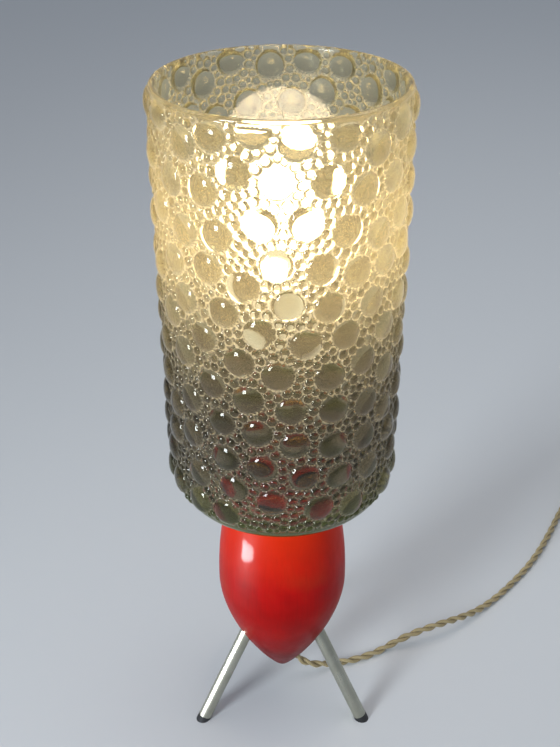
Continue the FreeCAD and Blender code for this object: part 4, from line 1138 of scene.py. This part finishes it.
class BubblePacking:
    """Lays large bubbles, in loose staggered rows where the photograph shows none, and beads round them.

    Lengths are in millimetres on the unrolled shade. A grid keeps each cell's gaps to the three
    nearest bubbles, its score as a bead's centre and the radius that a bead would have there.
    """

    grid = 0.5
    out_of_reach = 99.0
    open_gap = 30.0
    gap_reach = 12.0

    large_rings = ((0.35, 7), (0.62, 13), (0.82, 19), (0.94, 24), (1.0, 24))
    large_radius = 10.0
    large_spacing = 23.9
    large_row_pitch = 22.4
    large_margins = (9.4, 10.6)
    large_overhang = 0.8
    large_half_gap = 0.4
    large_height = 0.36
    large_sizes = (0.95, 1.0)
    jitter = 4.6
    seen_clearance = 15.5
    least_distance = 22.3
    least_room = 18.6
    push_rounds = 90
    push_share = 0.35
    push_limits = (0.6, 1.0)

    bead_rings = ((0.55, 7), (0.87, 11), (1.0, 12))
    small_rings = ((0.72, 7), (1.0, 10))
    small_radius = 2.3
    bead_radii = (2.4, 3.3)
    bead_patch = 12
    bead_least = 1.5
    bead_gap = 0.1
    bead_overhang = 1.2
    bead_worth = 1.6
    bead_height = 0.55
    most_bubbles = 4000
    no_room = 50.0

    pit_edge = 1.0
    pit_least = 0.5
    pit_depth = 0.12
    # the share of pale painted light in a gap
    pit_valley_light = 0.25
    pit_spacing = 1.9

    def __init__(self, width: float, start: float, end: float, seen: list[Span], seed: int = 11) -> None:
        """Prepares the grid.

        Args:
            width: the shade's girth, where the pattern closes on itself.
            start: where the relief starts, down from the lip.
            end: where it ends.
            seen: the large bubbles that the photograph shows, along and down.
            seed: the layout's seed.
        """
        self.width, self.start, self.end, self.seen = width, start, end, np.array(seen)
        self.rng = random.Random(seed)
        self.columns = round(width / self.grid)
        self.rows = round((end - start) / self.grid)
        self.cell = width / self.columns
        self.gaps = np.full((3, self.rows, self.columns), self.open_gap, dtype=np.float32)
        patch = self.bead_patch
        patches = (self.rows // patch + 1, self.columns // patch + 1)
        drawn = np.random.default_rng(seed).uniform(*self.bead_radii, patches)
        largest = np.kron(drawn, np.ones((patch, patch)))[: self.rows, : self.columns]
        self.largest = largest.astype(np.float32)
        down = start + (np.arange(self.rows) + 0.5) * self.grid
        self.edge = np.minimum(down - start, end - down).astype(np.float32)[:, None]
        self.score = np.full((self.rows, self.columns), self.out_of_reach, dtype=np.float32)
        self.radius = np.zeros_like(self.score)

    def apart(self, places: np.ndarray, others: np.ndarray) -> tuple[np.ndarray, np.ndarray]:
        """The steps and distances between places, the short way round the shade.

        Args:
            places: places, along and down.
            others: the places to measure from.

        Returns:
            The steps from each of the others to each place, and their lengths, a place's own out of reach.
        """
        steps = places[:, None, :] - others[None, :, :]
        steps[..., 0] -= self.width * np.round(steps[..., 0] / self.width)
        far = np.linalg.norm(steps, axis=2)
        return steps, np.where(far < 1e-9, self.out_of_reach, far)

    def shaken(self, value: float) -> float:
        """A value with a random shake."""
        return value + self.rng.uniform(-self.jitter, self.jitter)

    def large_places(self) -> tuple[np.ndarray, np.ndarray]:
        """The seen bubbles, and staggered rows of others, shaken and pushed apart again.

        Returns:
            The centres, along and down, and each one's free distance to its nearest neighbour.
        """
        across = round(self.width / self.large_spacing)
        pitch = self.width / across
        first, last = self.start + self.large_margins[0], self.end - self.large_margins[1]
        count = round((last - first) / self.large_row_pitch) + 1
        drop = (last - first) / (count - 1)
        others = np.array([
            [self.shaken((k + 0.5 * (row % 2)) * pitch), self.shaken(first + row * drop)]
            for row in range(count) for k in range(across)
        ])
        others = others[self.apart(others, self.seen)[1].min(axis=1) > self.seen_clearance]
        highest, lowest = first - self.push_limits[0], last + self.push_limits[1]
        for _ in range(self.push_rounds):
            steps, far = self.apart(others, np.concatenate([self.seen, others]))
            pressing = np.clip(self.least_distance - far, 0.0, None)[..., None]
            others += (pressing * steps / far[..., None] * self.push_share).sum(axis=1)
            others[:, 1] = np.clip(others[:, 1], highest, lowest)
        room = self.apart(others, np.concatenate([self.seen, others]))[1].min(axis=1)
        every = np.concatenate([self.seen, others[room > self.least_room]])
        every[:, 0] %= self.width
        return every, self.apart(every, every)[1].min(axis=1)

    def centre(self, number: int) -> tuple[int, int, float, float]:
        """A cell's row and column, and the place of its middle, along and down."""
        row, column = divmod(number, self.columns)
        return row, column, (column + 0.5) * self.cell, self.start + (row + 0.5) * self.grid

    def window(self, along: float, down: float, reach: float) -> tuple[np.ndarray, np.ndarray, np.ndarray]:
        """The grid cells near a place.

        Args:
            along: the place, along the girth.
            down: the place, down the shade.
            reach: how far the window goes.

        Returns:
            Row numbers, column numbers and each cell's distance from the place.
        """
        steps = int(reach / self.cell)
        column, row = int(along / self.cell), int((down - self.start) / self.grid)
        rows = np.arange(max(0, row - steps), min(self.rows, row + steps + 1))
        columns = np.arange(column - steps, column + steps + 1)
        high = self.start + (rows + 0.5) * self.grid - down
        wide = (columns + 0.5) * self.cell - along
        return rows, columns % self.columns, np.hypot(high[:, None], wide[None, :])

    def occupy(self, bubble: Bubble) -> None:
        """Takes a bubble's space out of the grid and scores the cells round it again.

        Args:
            bubble: the bubble.
        """
        rows, columns, far = self.window(bubble.along, bubble.down, bubble.radius + self.gap_reach)
        part = np.ix_(range(3), rows, columns)
        new = (far - bubble.radius).astype(np.float32)[None]
        self.gaps[part] = np.sort(np.concatenate([self.gaps[part], new]), axis=0)[:3]
        self.weigh(rows, columns)

    def weigh(self, rows: np.ndarray, columns: np.ndarray) -> None:
        """Scores cells as bead centres: best where a wide bead touches three neighbours.

        Args:
            rows: the cells' rows.
            columns: their columns.
        """
        part = np.ix_(rows, columns)
        near, second, third = (self.gaps[k][part] for k in range(3))
        room = np.minimum(near - self.bead_gap, self.edge[rows] + self.bead_overhang)
        radius = np.minimum(room, self.largest[part])
        slack = (near - radius) + (second - radius) + 0.5 * (third - radius)
        worth = slack - self.bead_worth * radius
        self.score[part] = np.where(radius > self.bead_least, worth, self.out_of_reach)
        self.radius[part] = radius

    def large(self) -> list[Bubble]:
        """The large bubbles, each as wide as its neighbours and the foot of the relief let it be.

        Returns:
            The bubbles.
        """
        bubbles = []
        for (along, down), room in zip(*self.large_places()):
            foot_room = self.end + self.large_overhang - down
            widest = min(self.large_radius, room / 2 - self.large_half_gap, foot_room)
            radius = widest * self.rng.uniform(*self.large_sizes)
            height = radius * self.large_height
            bubbles.append(Bubble(along, down, radius, height, self.large_rings, headroom=down - self.start))
        return bubbles

    def lay(self) -> list[Bubble]:
        """Lays the whole pattern: the large bubbles, then the best bead again and again.

        Returns:
            The bubbles.
        """
        bubbles = self.large()
        for bubble in bubbles:
            self.occupy(bubble)
        large = len(bubbles)
        while len(bubbles) < self.most_bubbles:
            row, column, along, down = self.centre(int(np.argmin(self.score)))
            if self.score[row, column] > self.no_room:
                break
            radius = float(self.radius[row, column])
            rings = self.bead_rings if radius > self.small_radius else self.small_rings
            bead = Bubble(along, down, radius, radius * self.bead_height, rings, flatness=2.0, roundness=0.55)
            bubbles.append(bead)
            self.occupy(bead)
        log.info("relief: %d large bubbles, %d beads", large, len(bubbles) - large)
        return bubbles

    def pits(self) -> list[ReliefPoint]:
        """The low points in the middle of the gaps that the laid bubbles leave.

        Returns:
            The points.
        """
        result = []
        room = np.where(self.edge > self.pit_edge, self.gaps[0], 0.0)
        while True:
            row, column, along, down = self.centre(int(np.argmax(room)))
            gap = float(room[row, column])
            if gap < self.pit_least:
                break
            result.append(ReliefPoint(along, down, -self.pit_depth * gap, valley_light=self.pit_valley_light))
            rows, columns, far = self.window(along, down, self.pit_spacing + self.cell)
            part = np.ix_(rows, columns)
            room[part] = np.where(far < self.pit_spacing, 0.0, room[part])
        log.info("relief: %d gaps", len(result))
        return result


def arc(centre: Span, radius: float, degrees: range | tuple[float, ...]) -> list[Span]:
    """Points of an arc in the shade's section, radius and height, at degrees up from straight out."""
    angles = [math.radians(angle) for angle in degrees]
    return [(centre[0] + radius * math.cos(a), centre[1] + radius * math.sin(a)) for a in angles]


@dataclass
class BubbleShade:
    """The cylindrical glass shade: relief outside, smooth inside, open on top, thick floor.

    Its sizes are in metres, and those of the relief in millimetres and degrees.
    """

    material: Material
    top: float = 0.491
    bottom: float = 0.2082
    seat: float = 0.2055
    outer: float = 0.075
    inner: float = 0.071
    floor_top: float = 0.2105
    corner: float = 0.0198
    inner_corner: float = 0.0145
    hole: float = 0.0054
    inner_step: float = 0.0504
    relief_start: float = 1.2
    relief_turn: float = 21.0
    relief_margin: float = 1.6
    overlap: float = 16.0
    segments: int = 240
    seed: int = 5

    @property
    def lip(self) -> float:
        """The rounded lip's radius."""
        return (self.outer - self.inner) / 2

    @property
    def wall(self) -> float:
        """The straight wall's height, from the lip down to the corner."""
        return self.top - self.lip - self.bottom - self.corner

    def outside(self, point: ReliefPoint) -> tuple[Vector, Vector]:
        """Carries a point of the unrolled relief onto the shade.

        Args:
            point: the point, in millimetres.

        Returns:
            Its place in metres, and the relief's normal there.
        """
        angle = point.along * MM / self.outer
        past = point.down * MM - self.wall
        turn = max(0.0, past / self.corner)
        out = Vector((math.cos(angle), math.sin(angle), 0.0))
        across = Vector((-math.sin(angle), math.cos(angle), 0.0))
        normal = out * math.cos(turn) - UP * math.sin(turn)
        downward = -out * math.sin(turn) - UP * math.cos(turn)
        height = self.bottom + self.corner + max(0.0, -past)
        place = out * (self.outer - self.corner) + UP * height + normal * (self.corner + point.rise * MM)
        steered = normal + across * point.slope_along + downward * point.slope_down
        return place, steered.normalized()

    def unrolled(self, pixel: Pixel, behind: bool) -> Span:
        """Where on the unrolled shade a pixel of the photograph looks.

        Args:
            pixel: the pixel.
            behind: whether it looks in at the open top, onto the far wall.

        Returns:
            The place along the girth and down from the lip, in millimetres.
        """
        view = PhotoView()
        eye, ray = Vector(view.eye), view.ray(pixel)
        nearest = -eye.xy.dot(ray.xy) / ray.xy.length_squared
        aside = (eye.xy + ray.xy * nearest).length
        reach = math.sqrt(max(0.0, self.outer ** 2 - aside ** 2)) / ray.xy.length
        place = eye + ray * (nearest + reach if behind else nearest - reach)
        return math.atan2(place.y, place.x) * self.outer / MM, (self.top - self.lip - place.z) / MM

    def relief_points(self, width: float) -> list[ReliefPoint]:
        """The relief's mesh points: its two edges first, then the bubbles and the gaps.

        Args:
            width: the shade's girth.

        Returns:
            The points.
        """
        end = self.wall / MM + math.radians(self.relief_turn) * self.corner / MM
        rng = random.Random(self.seed)
        points = []
        for level in (0.0, end):
            points += [ReliefPoint(width * k / self.segments, level) for k in range(self.segments)]
        seen = [self.unrolled(pixel, False) for pixel in SeenBubbles.near_wall]
        seen += [self.unrolled(pixel, True) for pixel in SeenBubbles.far_wall]
        packing = BubblePacking(width, self.relief_start, end - self.relief_margin, seen)
        for bubble in packing.lay():
            points += bubble.points(rng)
        return points + packing.pits()

    def relief(self, shape: BMesh) -> list[list]:
        """Triangulates the relief, with some overlap where it closes, and wraps it round the shade.

        Args:
            shape: the bmesh that takes the relief.

        Returns:
            The edge loops at its upper and lower ends.
        """
        width = math.tau * self.outer / MM
        points = self.relief_points(width)
        flat, source = [], []
        for number, point in enumerate(points):
            for along in (point.along % width + shift for shift in (-width, 0.0, width)):
                if -self.overlap <= along <= width + self.overlap:
                    flat.append(Vector((along, point.down)))
                    source.append(number)
        places, _, triangles, origins = delaunay_2d_cdt(flat, [], [], 0, 1e-5, True)[:4]
        normals = shape.verts.layers.float_vector.new("relief_normal")
        # a layer with each point's share of pale painted light
        valley_light_layer = shape.verts.layers.float.new("valley_light")
        verts = []
        for point in points:
            place, normal = self.outside(point)
            vertex = shape.verts.new(place)
            vertex[normals] = normal
            vertex[valley_light_layer] = point.valley_light
            verts.append(vertex)
        for triangle in triangles:
            if 0.0 <= sum(places[k].x for k in triangle) / 3.0 < width:
                numbers = [source[origins[k][0]] for k in triangle]
                if len(set(numbers)) == 3:
                    shape.faces.new([verts[k] for k in numbers])
        rings = (verts[: self.segments], verts[self.segments: 2 * self.segments])
        return [[shape.edges.get(pair) for pair in zip(ring, ring[1:] + ring[:1])] for ring in rings]

    def grow(self, shape: BMesh, loop: list, profile: list[Span]) -> list:
        """Carries an edge loop on along a profile.

        Args:
            shape: the bmesh.
            loop: the loop to start from.
            profile: radius and height of each further ring.

        Returns:
            The last loop.
        """
        normals = shape.verts.layers.float_vector["relief_normal"]
        for radius, height in profile:
            grown = bmesh.ops.extrude_edge_only(shape, edges=loop)["geom"]
            loop = [item for item in grown if isinstance(item, bmesh.types.BMEdge)]
            ends = {vertex for edge in loop for vertex in edge.verts}
            loop = [edge for edge in loop if edge.is_boundary]
            for vertex in ends:
                flat = Vector((vertex.co.x, vertex.co.y, 0.0)).normalized() * radius
                vertex.co = (flat.x, flat.y, height)
                vertex[normals] = (0.0, 0.0, 0.0)
        return loop

    def inside_profile(self) -> list[Span]:
        """From the relief's upper end over the lip, down the inside, and through the floor's hole.

        Returns:
            Radius and height of each ring.
        """
        middle, under_lip = (self.outer + self.inner) / 2, self.top - self.lip
        corner_middle = (self.inner - self.inner_corner, self.floor_top + self.inner_corner)
        profile = arc((middle, under_lip), self.lip, range(20, 181, 20))
        profile += [(self.inner, under_lip - k * self.inner_step) for k in range(1, 6)]
        profile += arc(corner_middle, self.inner_corner, range(0, -91, -10))
        profile += [(radius, self.floor_top) for radius in (0.04, 0.02, self.hole + MM)]
        return profile + [(self.hole, self.floor_top - 0.6 * MM), (self.hole, self.seat + 0.6 * MM)]

    def under_profile(self) -> list[Span]:
        """From the relief's lower end round the corner and in to the hole, with the raised seat.

        Returns:
            Radius and height of each ring.
        """
        corner_middle = (self.outer - self.corner, self.bottom + self.corner)
        profile = arc(corner_middle, self.corner, (-28, -35, -42, -50, -58, -66, -74, -82, -90))
        profile += [(0.046, self.bottom - 0.3 * MM), (0.038, self.seat + 0.4 * MM)]
        profile += [(radius, self.seat) for radius in (0.030, 0.02, self.hole + MM)]
        return profile + [(self.hole, self.seat + 0.6 * MM)]

    def build(self) -> None:
        """Makes the shade."""
        shape = bmesh.new()
        upper, lower = self.relief(shape)
        upper = self.grow(shape, upper, self.inside_profile())
        lower = self.grow(shape, lower, self.under_profile())
        seam = list({vertex for edge in upper + lower for vertex in edge.verts})
        bmesh.ops.remove_doubles(shape, verts=seam, dist=0.02 * MM)
        bmesh.ops.recalc_face_normals(shape, faces=shape.faces)
        log.info("shade: %d faces, %d open edges", len(shape.faces), sum(e.is_boundary for e in shape.edges))
        mesh = from_bmesh("relief_shade", shape)
        piece = new_piece("relief_shade", mesh, self.material)
        normals = mesh.attributes["relief_normal"]
        mesh.normals_split_custom_set_from_vertices([item.vector for item in normals.data])
        mesh.attributes.remove(mesh.attributes["relief_normal"])
        piece.visible_shadow = False
        piece.visible_diffuse = False
        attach(piece, "lamp")
        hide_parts("glass_shade")


class Dresser:
    """Gives every CAD node that stays in view its finish."""

    leg_azimuths = {"back": 90.0, "left": 210.0, "right": 330.0}
    leg_lean = 28.29
    finishes: dict[Finish, str] = {
        RedLacquer(): "wooden_egg",
        LitGlass(): "bulb_envelope",
        SleevedPin(tuple(FlexRoutes.plug_inlet), FlexRoutes.plug_azimuth): "plug_pin_left plug_pin_right",
        Metal("brass", (0.72, 0.50, 0.20), (0.50, 0.32, 0.12), MetalWork.TURNED, 0.28):
            "exit_bushing stem_insert clamp_washer clamp_nut leg_insert_back leg_insert_left "
            "leg_insert_right switch_blade switch_terminal_plug_side switch_terminal_lamp_side "
            "holder_contact bulb_contact",
        Metal("zinc", (0.62, 0.63, 0.64), (0.45, 0.45, 0.44), MetalWork.ROLLED, 0.34):
            "stem_tube leg_stud_back leg_stud_left leg_stud_right holder_screw_left holder_screw_right "
            "switch_screw_left switch_screw_right switch_pin",
        Metal("nickel", (0.70, 0.68, 0.64), (0.56, 0.53, 0.47), MetalWork.PLATED, 0.2):
            "stem_cover holder_shell bulb_cap",
        Metal("tungsten", (0.42, 0.40, 0.38), (0.25, 0.24, 0.23), MetalWork.PLATED, 0.4): "bulb_filament",
        Moulded("foot_rubber", (0.022, 0.022, 0.024), (0.012, 0.012, 0.013), 0.55, depth=0.00008):
            "leg_foot_back leg_foot_left leg_foot_right",
        Moulded("gasket_rubber", (0.035, 0.034, 0.032), (0.02, 0.02, 0.019), 0.6, depth=0.00008):
            "lower_gasket upper_gasket",
        Moulded("holder_plastic", (0.80, 0.77, 0.68), (0.70, 0.66, 0.56), 0.35, coat=0.3):
            "holder_cap holder_skirt",
        Moulded("glazed_ceramic", (0.85, 0.83, 0.78), (0.76, 0.73, 0.66), 0.3, coat=0.8): "holder_ceramic",
        Moulded("bulb_insulator", (0.03, 0.03, 0.035), (0.015, 0.015, 0.02), 0.25, coat=0.6):
            "bulb_insulator",
        Moulded("bulb_mount_glass", (0.75, 0.76, 0.74), (0.6, 0.62, 0.6), 0.2, coat=0.5): "bulb_mount",
        Moulded("switch_plastic", (0.030, 0.018, 0.012), (0.018, 0.010, 0.007), 0.3, coat=0.5):
            "switch_base switch_cover switch_grip_lamp_side switch_grip_plug_side",
        Moulded("rocker_plastic", (0.78, 0.74, 0.64), (0.68, 0.63, 0.52), 0.3, coat=0.4): "switch_rocker",
        Moulded("plug_plastic", (0.028, 0.017, 0.012), (0.016, 0.010, 0.007), 0.35, coat=0.3):
            "plug_body plug_relief",
    }

    def legs(self) -> None:
        """Brushes the leg tubes along their own axes."""
        for side, azimuth in self.leg_azimuths.items():
            turn = (0.0, math.radians(-self.leg_lean), math.radians(azimuth))
            dress(Metal(
                "brushed_leg_" + side, (0.47, 0.47, 0.40), (0.38, 0.38, 0.31), MetalWork.BRUSHED_ALONG, 0.30,
                turn=turn,
            ), "leg_tube_" + side)

    def dress_all(self) -> None:
        """Dresses the whole lamp."""
        self.legs()
        for finish, nodes in self.finishes.items():
            dress(finish, *nodes.split())


def main() -> None:
    """Builds and dresses the lamp."""
    logging.basicConfig(level=logging.INFO, format="%(name)s: %(message)s")
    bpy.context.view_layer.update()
    Studio().build()
    braid = BraidedCloth().build()
    routes = FlexRoutes()

    run, run_points = TwistedFlex("lamp_flex", routes.lamp_run(), braid).build()
    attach(run, "lamp")
    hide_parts("cord_lamp_run")
    rest, rest_points = TwistedFlex("plug_flex", routes.plug_run(), braid).build()
    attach(rest, "lamp")
    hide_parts("cord_switch_run", "cord_coil", "cord_plug_run")
    hidden_runs = {
        "inner_flex": ("inner_cord", routes.inner_run()),
        "switch_flex_lamp_side": ("switch_tail_lamp_side", routes.tail(False)),
        "switch_flex_plug_side": ("switch_tail_plug_side", routes.tail(True)),
    }
    for name, (node, route) in hidden_runs.items():
        piece, _ = TwistedFlex(name, route, braid).build()
        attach(piece, "lamp")
        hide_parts(node)
    BubbleShade(ReliefGlass().build()).build()
    Dresser().dress_all()


if __name__ == "__main__":
    main()
